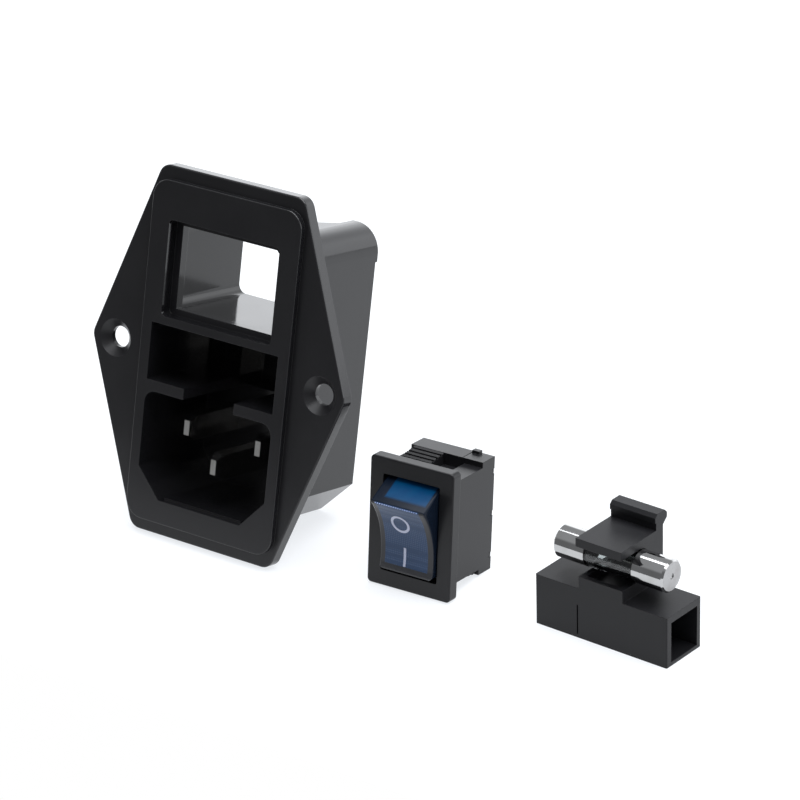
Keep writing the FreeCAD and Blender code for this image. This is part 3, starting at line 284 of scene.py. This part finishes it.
def add_relief(tree, shader, height, strength, distance, edge=0.0):
    """Give a surface its fine relief and, where an edge size is given, softly rounded edges."""
    relief = tree.nodes.new("ShaderNodeBump")
    relief.inputs["Strength"].default_value = strength
    relief.inputs["Distance"].default_value = distance
    tree.links.new(height, relief.inputs["Height"])
    if edge:
        rounding = tree.nodes.new("ShaderNodeBevel")
        rounding.samples = EDGE_SAMPLES
        rounding.inputs["Radius"].default_value = edge
        tree.links.new(rounding.outputs["Normal"], relief.inputs["Normal"])
    tree.links.new(relief.outputs["Normal"], shader.inputs["Normal"])


def moulded_plastic(name, colour, cloud_colour, gloss, dull, grain_scale, bump, edge=0.0, shine=0.5):
    """Make a moulded plastic: the shared skin, its fine grain, and softly rounded edges."""
    material, tree, shader = new_material(name)
    skin = placed_group(tree, moulded_skin, {
        "Colour": (*colour, 1), "Cloud Colour": (*cloud_colour, 1),
        "Gloss Roughness": gloss, "Dull Roughness": dull, "Grain": grain_scale})
    tree.links.new(skin.outputs["Colour"], shader.inputs["Base Color"])
    tree.links.new(skin.outputs["Roughness"], shader.inputs["Roughness"])
    add_relief(tree, shader, skin.outputs["Height"], bump, GRAIN_HEIGHT, edge)
    shader.inputs["Specular IOR Level"].default_value = shine
    return material


def finish_node(node, *materials, choose=None):
    """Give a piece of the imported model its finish; choose picks one for each face."""
    mesh = nodes[node].data
    mesh.materials.clear()
    for material in materials:
        mesh.materials.append(material)
    for face in mesh.polygons:
        face.material_index = choose(face) if choose else 0


housing_front = Vector((0, -math.cos(HOUSING_LEAN), math.sin(HOUSING_LEAN)))
housing_reach = max(housing_front.dot(corner.co) for corner in nodes["housing"].data.vertices)


def satin_or_polished(face):
    """Tell the satin front faces of the housing (0) from its polished sides (1)."""
    depth = housing_reach - housing_front.dot(face.center)
    return 0 if depth < SATIN_DEPTH and housing_front.dot(face.normal) > FACING_FRONT else 1


housing_satin = moulded_plastic(
    "housing satin face", colour=(0.0098, 0.0095, 0.0109), cloud_colour=(0.0122, 0.0119, 0.0134),
    gloss=0.32, dull=0.4, grain_scale=4200.0, bump=0.22, edge=HOUSING_EDGE, shine=0.38)
housing_polished = moulded_plastic(
    "housing polished sides", colour=(0.0075, 0.0075, 0.0085), cloud_colour=(0.0095, 0.0095, 0.0108),
    gloss=0.1, dull=0.18, grain_scale=3600.0, bump=0.05, edge=HOUSING_EDGE, shine=0.5)
finish_node("housing", housing_satin, housing_polished, choose=satin_or_polished)


# Inlet pins: solid brass blades, bright nickel plated, pressed in from the rear and
# ending in flat tabs. Drawing the strip leaves fine lines along each blade.
STAIN_SCALE = 380.0
STAIN_EDGE = (0.45, 0.75)
LINE_EDGE = (0.3, 0.7)
LINE_HEIGHT = 0.01 * MM
ALONG_DEPTH = (9000.0, 250.0, 9000.0)

plated = bpy.data.node_groups.new("drawn plate", "ShaderNodeTree")
add_socket(plated, "Colour", "Color", True, (0.6, 0.6, 0.6, 1))
add_socket(plated, "Tarnish", "Color", True, (0.4, 0.38, 0.34, 1))
add_socket(plated, "Bright Roughness", "Float", True, 0.15)
add_socket(plated, "Dull Roughness", "Float", True, 0.35)
add_socket(plated, "Lines", "Vector", True, (1.0, 1.0, 1.0))
add_socket(plated, "Colour", "Color", False)
add_socket(plated, "Roughness", "Float", False)
add_socket(plated, "Height", "Float", False)
plate_in = plated.nodes.new("NodeGroupInput")
plate_out = plated.nodes.new("NodeGroupOutput")
plate_space = plated.nodes.new("ShaderNodeTexCoord")
stretch = plated.nodes.new("ShaderNodeVectorMath")
stretch.operation = "MULTIPLY"
plated.links.new(plate_space.outputs["Object"], stretch.inputs[0])
plated.links.new(plate_in.outputs["Lines"], stretch.inputs[1])
drawn = plated.nodes.new("ShaderNodeTexNoise")
drawn.inputs["Scale"].default_value = 1.0
drawn.inputs["Detail"].default_value = 3.0
plated.links.new(stretch.outputs["Vector"], drawn.inputs["Vector"])
stain = ramped(plated, object_noise(plated, plate_space, STAIN_SCALE, 5.0), *STAIN_EDGE, 0.0, 1.0)
plate_colour = blended(plated, stain, plate_in.outputs["Colour"], plate_in.outputs["Tarnish"])
plate_roughness = ramped(plated, drawn.outputs["Fac"], *LINE_EDGE, plate_in.outputs["Bright Roughness"],
                         plate_in.outputs["Dull Roughness"])
plated.links.new(plate_colour, plate_out.inputs["Colour"])
plated.links.new(plate_roughness, plate_out.inputs["Roughness"])
plated.links.new(drawn.outputs["Fac"], plate_out.inputs["Height"])


def plated_metal(name, colour, tarnish, bright, dull, lines, bump):
    """Make a plated metal: colour and stain, drawn lines and their slight relief."""
    material, tree, shader = new_material(name)
    plate = placed_group(tree, plated, {
        "Colour": (*colour, 1), "Tarnish": (*tarnish, 1),
        "Bright Roughness": bright, "Dull Roughness": dull, "Lines": lines})
    tree.links.new(plate.outputs["Colour"], shader.inputs["Base Color"])
    tree.links.new(plate.outputs["Roughness"], shader.inputs["Roughness"])
    add_relief(tree, shader, plate.outputs["Height"], bump, LINE_HEIGHT)
    shader.inputs["Metallic"].default_value = 1.0
    return material


pin_nickel = plated_metal("pin nickel", colour=(0.7, 0.69, 0.67), tarnish=(0.62, 0.6, 0.57),
                          bright=0.12, dull=0.18, lines=ALONG_DEPTH, bump=0.03)
for pin in ("line_pin", "neutral_pin", "earth_pin"):
    finish_node(pin, pin_nickel)


# Fuse contacts: bowed spring strips in the roof of the fuse slot, stamped from thin
# bronze and nickel plated, a little duller than the pins. Their darker colour is painted shade
# inside the slot.
contact_nickel_shaded = plated_metal("contact nickel with painted shade", colour=(0.5, 0.49, 0.47), tarnish=(0.46, 0.45, 0.43),
                              bright=0.16, dull=0.22, lines=ALONG_DEPTH, bump=0.02)
for contact in ("fuse_feed_contact", "fuse_load_contact"):
    finish_node(contact, contact_nickel_shaded)


# Switch case: a moulding in black nylon with a fine satin skin. Six sharp ribs stand on each
# latch, and the pressed-in base plate of the same plastic is locked by small lugs in the
# nicks of the case.
SWITCH_TURN = math.radians(2.4)
SWITCH_LEAN = math.radians(83.99)
PIVOT_TO_FACE = 2.5 * MM
CASE_HALF = 6.5 * MM
CASE_FRONT_HALF = 8.4 * MM
CASE_DEPTH = 13.4 * MM
BLOCK_DEPTH = 9.9 * MM
LATCH_MIDDLE = 3.25 * MM
RIB_COUNT = 6
RIB_PITCH = 1.05 * MM
RIB_HALF_LENGTH = 2.62 * MM
RIB_LIFT = 0.85 * MM
RIB_FOOT = 0.45 * MM
RIB_TAIL = 0.1 * MM
RIB_FALL = 0.3 * MM
RIB_START = 0.05 * MM
RIB_CREST = 0.6 * RIB_PITCH
RIB_FACE = 0.66 * RIB_PITCH
CREST_DROP = 0.04 * MM
FACE_DROP = 0.07 * MM
NICK_PITCH = 6.9 * MM
LUG_HALF = 0.33 * MM
LUG_TOP_HALF = 0.7 * LUG_HALF
LUG_DEPTH = 0.58 * MM
LUG_RECESS = 0.06 * MM
LUG_ROOT = 0.4 * MM

case_black = moulded_plastic(
    "switch case black", colour=(0.0085, 0.0085, 0.0097), cloud_colour=(0.0115, 0.0115, 0.013),
    gloss=0.3, dull=0.38, grain_scale=5200.0, bump=0.3, edge=0.08 * MM, shine=0.28)
finish_node("switch_case", case_black)
finish_node("switch_base", case_black)

switch_pivot = Vector(next(joint for joint in record["behaviour"]["joints"]
                           if joint["name"] == "rocker_hinge")["pos_m"])
switch_turned = Matrix.Translation(switch_pivot) @ Matrix.Rotation(SWITCH_TURN, 4, "Z")
switch_frame = (switch_turned @ Matrix.Rotation(SWITCH_LEAN, 4, "X")
                @ Matrix.Translation((0, 0, PIVOT_TO_FACE)))


def cover_rings(shape, rings, joined=False):
    """Cover equal rings of corners with faces, and close both ends unless the rings join up."""
    following = rings[1:] + rings[:1] if joined else rings[1:]
    for ring, after in zip(rings, following):
        for side in range(len(ring)):
            beyond = (side + 1) % len(ring)
            shape.faces.new((ring[side], ring[beyond], after[beyond], after[side]))
    if not joined:
        shape.faces.new(reversed(rings[0]))
        shape.faces.new(rings[-1])


def case_prism(shape, outline, start, end):
    """Add a prism across the switch: its outline lies upright, from one place to another."""
    cover_rings(shape, [[shape.verts.new(switch_frame @ Vector((across, *point))) for point in outline]
                        for across in (start, end)])


ribs_shape = bmesh.new()
for side in (1, -1):
    middle = -side * LATCH_MIDDLE
    for rib in range(RIB_COUNT):
        back = rib * RIB_PITCH - BLOCK_DEPTH
        top = CASE_FRONT_HALF + RIB_LIFT * (1 - rib / RIB_COUNT)
        section = [(top - RIB_FALL, back + RIB_START), (top - CREST_DROP, back + RIB_CREST),
                   (top - FACE_DROP, back + RIB_FACE), (top - RIB_FOOT, back + RIB_FACE),
                   (top - RIB_FOOT - RIB_TAIL, back + RIB_START)]
        case_prism(ribs_shape, [(side * height, depth) for height, depth in section],
                   middle - RIB_HALF_LENGTH, middle + RIB_HALF_LENGTH)
bmesh.ops.recalc_face_normals(ribs_shape, faces=ribs_shape.faces)
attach(mesh_piece("latch_ribs", ribs_shape, case_black), "base")

lugs_shape = bmesh.new()
for side in (1, -1):
    for middle in (NICK_PITCH, 0.0, -NICK_PITCH):
        rear = LUG_RECESS - CASE_DEPTH
        front = LUG_DEPTH - CASE_DEPTH
        section = [(middle - LUG_HALF, rear), (middle + LUG_HALF, rear),
                   (middle + LUG_TOP_HALF, front), (middle - LUG_TOP_HALF, front)]
        case_prism(lugs_shape, section, side * (CASE_HALF - LUG_RECESS), side * (CASE_HALF - LUG_ROOT))
bmesh.ops.recalc_face_normals(lugs_shape, faces=lugs_shape.faces)
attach(mesh_piece("base_lugs", lugs_shape, case_black), "base")


# Switch terminals and contacts: silver plated brass blades in the base plate, and the
# lever with its contact button inside.
silvered = plated_metal("silver plate", colour=(0.78, 0.76, 0.72), tarnish=(0.5, 0.47, 0.4),
                        bright=0.18, dull=0.36, lines=ALONG_DEPTH, bump=0.3)
for blade in ("common_terminal", "load_terminal", "lamp_terminal", "contact_lever",
              "moving_contact", "fixed_contact"):
    finish_node(blade, silvered)


# Rocker: a smoky clear moulding with round lower corners that tips on two side pivots, over
# a blue core that shows at the end and as a finely dotted window behind the face. The end's blue
# is brightened as painted glow for light shining through the clear moulding, and darkens towards
# the back as painted shade from the opening. Two legends are printed on the face, and a row of
# tiny pips, coloured pale as a painted highlight, runs along the upper edge.
ROCKER_LEAN = math.radians(98.49)
ROCKER_HALF = 4.85 * MM
ROCKER_CROWN = 5.2 * MM
ROCKER_END = 6.2 * MM
ROCKER_REACH = 7.6 * MM
END_SLOPE = (ROCKER_REACH - ROCKER_END) / ROCKER_CROWN
FACE_SAG = 1.5 * MM
FACE_RADIUS = (ROCKER_END ** 2 + FACE_SAG ** 2) / (2 * FACE_SAG)
FACE_TURN = (0.6, 0.75)
WINDOW_HALF = 3.8 * MM
WINDOW_FOOT = 5.05 * MM
WINDOW_BLUR = 0.12 * MM
DOT_PITCH = 0.34 * MM
DOT_EDGE = (0.28, 0.42)
DOT_RELIEF = 0.25
END_TURN = (0.55, 0.7)
END_LEFT = -2.85 * MM
END_RIGHT = 4.2 * MM
END_FRONT = 3.4 * MM
# Painted shade: behind this edge the end darkens to the side colour, where the opening shades it.
END_SHADE_EDGE = -1.7 * MM
LEFT_BLUR = 0.25 * MM
RIGHT_BLUR = 0.2 * MM
FRONT_BLUR = 0.5 * MM
END_SHADE_BLUR = 1.2 * MM
END_CLOUD_SCALE = 700.0
END_CLOUD_EDGE = (0.35, 0.65)
END_CLOUD_MOST = 0.4
SMOKE = (0.034, 0.035, 0.039, 1)
SIDE_BLUE = (0.005, 0.009, 0.018, 1)
# Painted glow: the end's two blues are brightened to stand for light shining through the clear moulding.
END_BLUE_AND_GLOW = (0.0015, 0.046, 0.125, 1)
END_DEEP_BLUE_AND_GLOW = (0.002, 0.03, 0.1, 1)
WINDOW_BLUE = (0.02, 0.046, 0.105, 1)
DOT_BLUE = (0.045, 0.08, 0.16, 1)
SHELL_EDGE = 0.12 * MM
SHELL_COAT = 0.3
SHELL_COAT_ROUGHNESS = 0.08
SHELL_SHINE = 0.1
SHELL_IOR = 1.49
CORNER_ROUND = 1.0 * MM
CORNER_STEPS = 8
CUT_MARGIN = 0.6 * MM
CUT_FOOT = -1.4 * MM
SAME_PLACE = 0.001 * MM
SMOOTH_ANGLE = math.radians(30)

rocker_frame = switch_turned @ Matrix.Rotation(ROCKER_LEAN, 4, "X")
shell, shell_tree, shell_shader = new_material("smoky rocker shell")
shell_space = shell_tree.nodes.new("ShaderNodeTexCoord")


def in_rocker(vector):
    """Turn a vector of the shader into the rocker's own directions."""
    turn = shell_tree.nodes.new("ShaderNodeVectorRotate")
    turn.rotation_type = "EULER_XYZ"
    turn.invert = True
    turn.inputs["Rotation"].default_value = (ROCKER_LEAN, 0, SWITCH_TURN)
    shell_tree.links.new(vector, turn.inputs["Vector"])
    return turn.outputs["Vector"]


def shell_parts(vector):
    """Split a vector into its three numbers."""
    parts = shell_tree.nodes.new("ShaderNodeSeparateXYZ")
    shell_tree.links.new(vector, parts.inputs["Vector"])
    return parts.outputs


def shell_ramp(value, low, high, start=0.0, end=1.0):
    """Add a ramp to the shell's shader."""
    return ramped(shell_tree, value, low, high, start, end)


def highest(*values):
    """Give the highest of several masks of the shell."""
    top = values[0]
    for value in values[1:]:
        top = sum_of(shell_tree, "MAXIMUM", top, value)
    return top


from_pivot = shell_tree.nodes.new("ShaderNodeVectorMath")
from_pivot.operation = "SUBTRACT"
from_pivot.inputs[1].default_value = switch_pivot
shell_tree.links.new(shell_space.outputs["Object"], from_pivot.inputs[0])
spot = in_rocker(from_pivot.outputs["Vector"])
place = shell_parts(spot)
facing = shell_parts(in_rocker(shell_space.outputs["Normal"]))
on_face = shell_ramp(facing["Z"], *FACE_TURN)
on_end = shell_ramp(facing["Y"], *END_TURN)

away = sum_of(shell_tree, "ABSOLUTE", place["X"])
beside = shell_ramp(away, WINDOW_HALF, WINDOW_HALF + WINDOW_BLUR)
below = shell_ramp(place["Y"], -WINDOW_FOOT - WINDOW_BLUR, -WINDOW_FOOT, 1.0, 0.0)
dots = shell_tree.nodes.new("ShaderNodeTexVoronoi")
dots.inputs["Scale"].default_value = 1 / DOT_PITCH
dots.inputs["Randomness"].default_value = 0.0
shell_tree.links.new(spot, dots.inputs["Vector"])
dot = shell_ramp(dots.outputs["Distance"], *DOT_EDGE, 1.0, 0.0)
window_mix = blended(shell_tree, dot, WINDOW_BLUE, DOT_BLUE)
face_mix = blended(shell_tree, highest(beside, below), window_mix, SMOKE)

# At the left, right and front the blue end gives way to the side colour; at the back it fades out as painted
# shade from the opening.
end_margin_and_shade = highest(shell_ramp(place["X"], END_LEFT - LEFT_BLUR, END_LEFT, 1.0, 0.0),
                   shell_ramp(place["X"], END_RIGHT, END_RIGHT + RIGHT_BLUR),
                   shell_ramp(place["Z"], END_FRONT, END_FRONT + FRONT_BLUR),
                   shell_ramp(place["Z"], END_SHADE_EDGE - END_SHADE_BLUR, END_SHADE_EDGE, 1.0, 0.0))
end_noise = object_noise(shell_tree, shell_space, END_CLOUD_SCALE, 3.0)
end_cloud = shell_ramp(end_noise, *END_CLOUD_EDGE, 0.0, END_CLOUD_MOST)
# The end colour: the core's blue with painted glow, faded to the side colour at its edges and as painted
# shade at the back.
end_glow_and_shade_mix = blended(shell_tree, end_margin_and_shade, blended(shell_tree, end_cloud, END_BLUE_AND_GLOW, END_DEEP_BLUE_AND_GLOW), SIDE_BLUE)
lower_mix = blended(shell_tree, on_end, SIDE_BLUE, end_glow_and_shade_mix)
shell_colour = blended(shell_tree, on_face, lower_mix, face_mix)
shell_skin = placed_group(shell_tree, moulded_skin, {"Gloss Roughness": 0.16, "Dull Roughness": 0.3})
shell_tree.links.new(shell_colour, shell_shader.inputs["Base Color"])
shell_tree.links.new(shell_skin.outputs["Roughness"], shell_shader.inputs["Roughness"])
add_relief(shell_tree, shell_shader, sum_of(shell_tree, "MULTIPLY", dot, on_face), DOT_RELIEF,
           GRAIN_HEIGHT, SHELL_EDGE)
shell_tree.links.new(sum_of(shell_tree, "MULTIPLY", on_face, SHELL_COAT), shell_shader.inputs["Coat Weight"])
shell_shader.inputs["Coat Roughness"].default_value = SHELL_COAT_ROUGHNESS
shell_shader.inputs["Specular IOR Level"].default_value = SHELL_SHINE
shell_shader.inputs["IOR"].default_value = SHELL_IOR
finish_node("rocker", shell)


def corner_section(shape, side, height):
    """Outline what the rounding takes off one lower corner, at one height in the moulding."""
    foot = -ROCKER_END - END_SLOPE * (ROCKER_CROWN - max(height, 0.0))
    inner = ROCKER_HALF - CORNER_ROUND
    outer = ROCKER_HALF + CUT_MARGIN
    outline = []
    for step in range(CORNER_STEPS + 1):
        turn = math.pi / 2 * step / CORNER_STEPS
        outline.append((inner + CORNER_ROUND * math.cos(turn), foot + CORNER_ROUND * (1 - math.sin(turn))))
    outline += [(inner, foot - CUT_MARGIN), (outer, foot - CUT_MARGIN), (outer, foot + CORNER_ROUND)]
    return [shape.verts.new(rocker_frame @ Vector((side * across, along, height)))
            for across, along in outline]


corners_shape = bmesh.new()
for side in (1, -1):
    cover_rings(corners_shape, [corner_section(corners_shape, side, height)
                                for height in (ROCKER_CROWN + CUT_MARGIN, 0.0, CUT_FOOT)])
bmesh.ops.recalc_face_normals(corners_shape, faces=corners_shape.faces)
corner_cutter = mesh_piece("corner_cutter", corners_shape, shell)

blank_shape = bmesh.new()
blank_shape.from_mesh(nodes["rocker"].data)
bmesh.ops.remove_doubles(blank_shape, verts=blank_shape.verts, dist=SAME_PLACE)
rocker_shell = mesh_piece("rocker_shell", blank_shape, shell)
corner_cut = rocker_shell.modifiers.new("rounded lower corners", "BOOLEAN")
corner_cut.operation = "DIFFERENCE"
corner_cut.solver = "EXACT"
corner_cut.object = corner_cutter
shaped = rocker_shell.evaluated_get(bpy.context.evaluated_depsgraph_get())
rounded_shell = bpy.data.meshes.new_from_object(shaped)
rocker_shell.modifiers.clear()
rocker_shell.data = rounded_shell
bpy.data.objects.remove(corner_cutter)
if "custom_normal" in rounded_shell.attributes:
    rounded_shell.attributes.remove(rounded_shell.attributes["custom_normal"])
rounded_shell.polygons.foreach_set("use_smooth", [True] * len(rounded_shell.polygons))
rounded_shell.set_sharp_from_angle(angle=SMOOTH_ANGLE)
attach(rocker_shell, "rocker")
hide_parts("rocker")


# Legends: a ring and a bar, the usual signs for off and on, printed in pale ink on the
# face of the rocker as thin layers that follow its hollow.
PRINT_RISE = 0.03 * MM
RING_MIDDLE = -0.58 * MM
RING_HEIGHT = 2.25 * MM
RING_OUTER = 1.66 * MM
RING_INNER = 1.24 * MM
RING_STEPS = 56
BAR_MIDDLE = -0.3 * MM
BAR_WIDTH = 0.42 * MM
BAR_TOP = -2.1 * MM
BAR_FOOT = -5.05 * MM
BAR_STEPS = 12

print_white = moulded_plastic(
    "pale legend print", colour=(0.4, 0.43, 0.56), cloud_colour=(0.46, 0.49, 0.62),
    gloss=0.35, dull=0.5, grain_scale=4000.0, bump=0.1)


def face_point(across, along, rise):
    """Give a point a little above the hollow face of the rocker."""
    height = ROCKER_CROWN - FACE_SAG + FACE_RADIUS - math.sqrt(FACE_RADIUS ** 2 - along ** 2)
    return rocker_frame @ Vector((across, along, height + rise))


def printed_band(left_line, right_line, joined):
    """Lay a thin layer of print on the face between two lines of points."""
    shape = bmesh.new()
    rings = []
    for left, right in zip(left_line, right_line):
        corners = ((left, PRINT_RISE), (right, PRINT_RISE), (right, -PRINT_RISE), (left, -PRINT_RISE))
        rings.append([shape.verts.new(face_point(*point, rise)) for point, rise in corners])
    cover_rings(shape, rings, joined)
    bmesh.ops.recalc_face_normals(shape, faces=shape.faces)
    return shape


def ring_line(radius):
    """Give the points of one circle of the ring legend."""
    turns = [2 * math.pi * step / RING_STEPS for step in range(RING_STEPS)]
    return [(RING_MIDDLE + radius * math.cos(turn), RING_HEIGHT + radius * math.sin(turn)) for turn in turns]


def bar_line(across):
    """Give the points of one long edge of the bar legend."""
    return [(across, BAR_TOP + (BAR_FOOT - BAR_TOP) * step / BAR_STEPS) for step in range(BAR_STEPS + 1)]


ring_shape = printed_band(ring_line(RING_OUTER), ring_line(RING_INNER), joined=True)
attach(mesh_piece("legend_ring", ring_shape, print_white), "rocker")
bar_shape = printed_band(bar_line(BAR_MIDDLE - BAR_WIDTH / 2),
                         bar_line(BAR_MIDDLE + BAR_WIDTH / 2), joined=False)
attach(mesh_piece("legend_bar", bar_shape, print_white), "rocker")


# Pips: a row of tiny clear beads moulded along the upper edge of the rocker's face. They are
# coloured pale blue as a painted highlight, so that they show as a bright dotted line.
PIP_RADIUS = 0.11 * MM
PIP_COUNT = 19
PIP_LEFT = -3.9 * MM
PIP_RIGHT = 3.5 * MM
PIP_ALONG = ROCKER_END - 0.1 * MM
PIP_HEIGHT = ROCKER_CROWN - 0.12 * MM

pips_shape = bmesh.new()
for pip in range(PIP_COUNT):
    across = PIP_LEFT + (PIP_RIGHT - PIP_LEFT) * pip / (PIP_COUNT - 1)
    bmesh.ops.create_icosphere(pips_shape, subdivisions=1, radius=PIP_RADIUS,
                               matrix=rocker_frame @ Matrix.Translation((across, PIP_ALONG, PIP_HEIGHT)))
# Painted highlight: the pips' pale colour, much lighter than the smoky moulding they belong to.
pip_painted_highlight = moulded_plastic("pip painted highlight", colour=(0.3, 0.4, 0.7), cloud_colour=(0.4, 0.5, 0.8),
                            gloss=0.1, dull=0.2, grain_scale=3000.0, bump=0.0)
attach(mesh_piece("rocker_pips", pips_shape, pip_painted_highlight), "rocker")


# Plunger and spring: a white nylon pin and a steel spring that stand in the post of
# the rocker and press on the lever.
nylon = moulded_plastic("white nylon", colour=(0.62, 0.61, 0.56), cloud_colour=(0.7, 0.69, 0.65),
                        gloss=0.4, dull=0.5, grain_scale=3000.0, bump=0.2)
finish_node("rocker_plunger", nylon)
spring_steel = plated_metal("spring steel", colour=(0.5, 0.5, 0.5), tarnish=(0.35, 0.33, 0.3),
                            bright=0.25, dull=0.4, lines=(5000.0, 5000.0, 5000.0), bump=0.2)
finish_node("plunger_spring", spring_steel)


# Glow lamp and resistor: a small glass bulb below the rocker and the lacquered
# resistor in its lead.
def clear_glass(name, tint, gloss, dull):
    """Make a clear glass with the faint haze of the shared skin."""
    material, tree, shader = new_material(name)
    skin = placed_group(tree, moulded_skin, {"Gloss Roughness": gloss, "Dull Roughness": dull})
    tree.links.new(skin.outputs["Roughness"], shader.inputs["Roughness"])
    shader.inputs["Base Color"].default_value = (*tint, 1)
    shader.inputs["Transmission Weight"].default_value = 1.0
    return material


finish_node("neon_lamp", clear_glass("lamp glass", tint=(0.92, 0.94, 0.95), gloss=0.02, dull=0.08))
lacquer = moulded_plastic("resistor lacquer", colour=(0.36, 0.22, 0.12), cloud_colour=(0.42, 0.28, 0.16),
                          gloss=0.25, dull=0.35, grain_scale=2500.0, bump=0.3)
finish_node("lamp_resistor", lacquer)


# Fuse drawer: a moulding in the same black plastic as the housing, with its clip
# standing over the fuse. Its flat faces are duller than the housing's.
drawer_black = moulded_plastic(
    "drawer black", colour=(0.008, 0.008, 0.0094), cloud_colour=(0.011, 0.011, 0.0126),
    gloss=0.38, dull=0.48, grain_scale=4600.0, bump=0.3, edge=0.08 * MM, shine=0.26)
finish_node("fuse_drawer", drawer_black)


# Glass fuse: a tube of grey glass with a thin wire down its middle and a plated cap on each
# end. The caps are bright on the side and duller on the end, round the solder.
DRAWER_TURN = math.radians(-3.3)
FACING_END = 0.9
ALONG_FUSE = (250.0, 7000.0, 7000.0)

finish_node("fuse_glass", clear_glass("fuse glass", tint=(0.62, 0.65, 0.65), gloss=0.01, dull=0.05))
finish_node("fuse_wire", silvered)
fuse_axis = Vector((math.cos(DRAWER_TURN), math.sin(DRAWER_TURN), 0))


def side_or_end(face):
    """Tell the bright side of a cap (0) from its duller end (1)."""
    return 1 if abs(fuse_axis.dot(face.normal)) > FACING_END else 0


cap_plate = plated_metal("fuse cap plate", colour=(0.46, 0.46, 0.46), tarnish=(0.41, 0.41, 0.4),
                         bright=0.05, dull=0.1, lines=ALONG_FUSE, bump=0.05)
cap_end = plated_metal("fuse cap end", colour=(0.4, 0.4, 0.4), tarnish=(0.34, 0.33, 0.33),
                       bright=0.3, dull=0.4, lines=(3000.0, 3000.0, 3000.0), bump=0.3)
for cap in ("fuse_cap_left", "fuse_cap_right"):
    finish_node(cap, cap_plate, cap_end, choose=side_or_end)
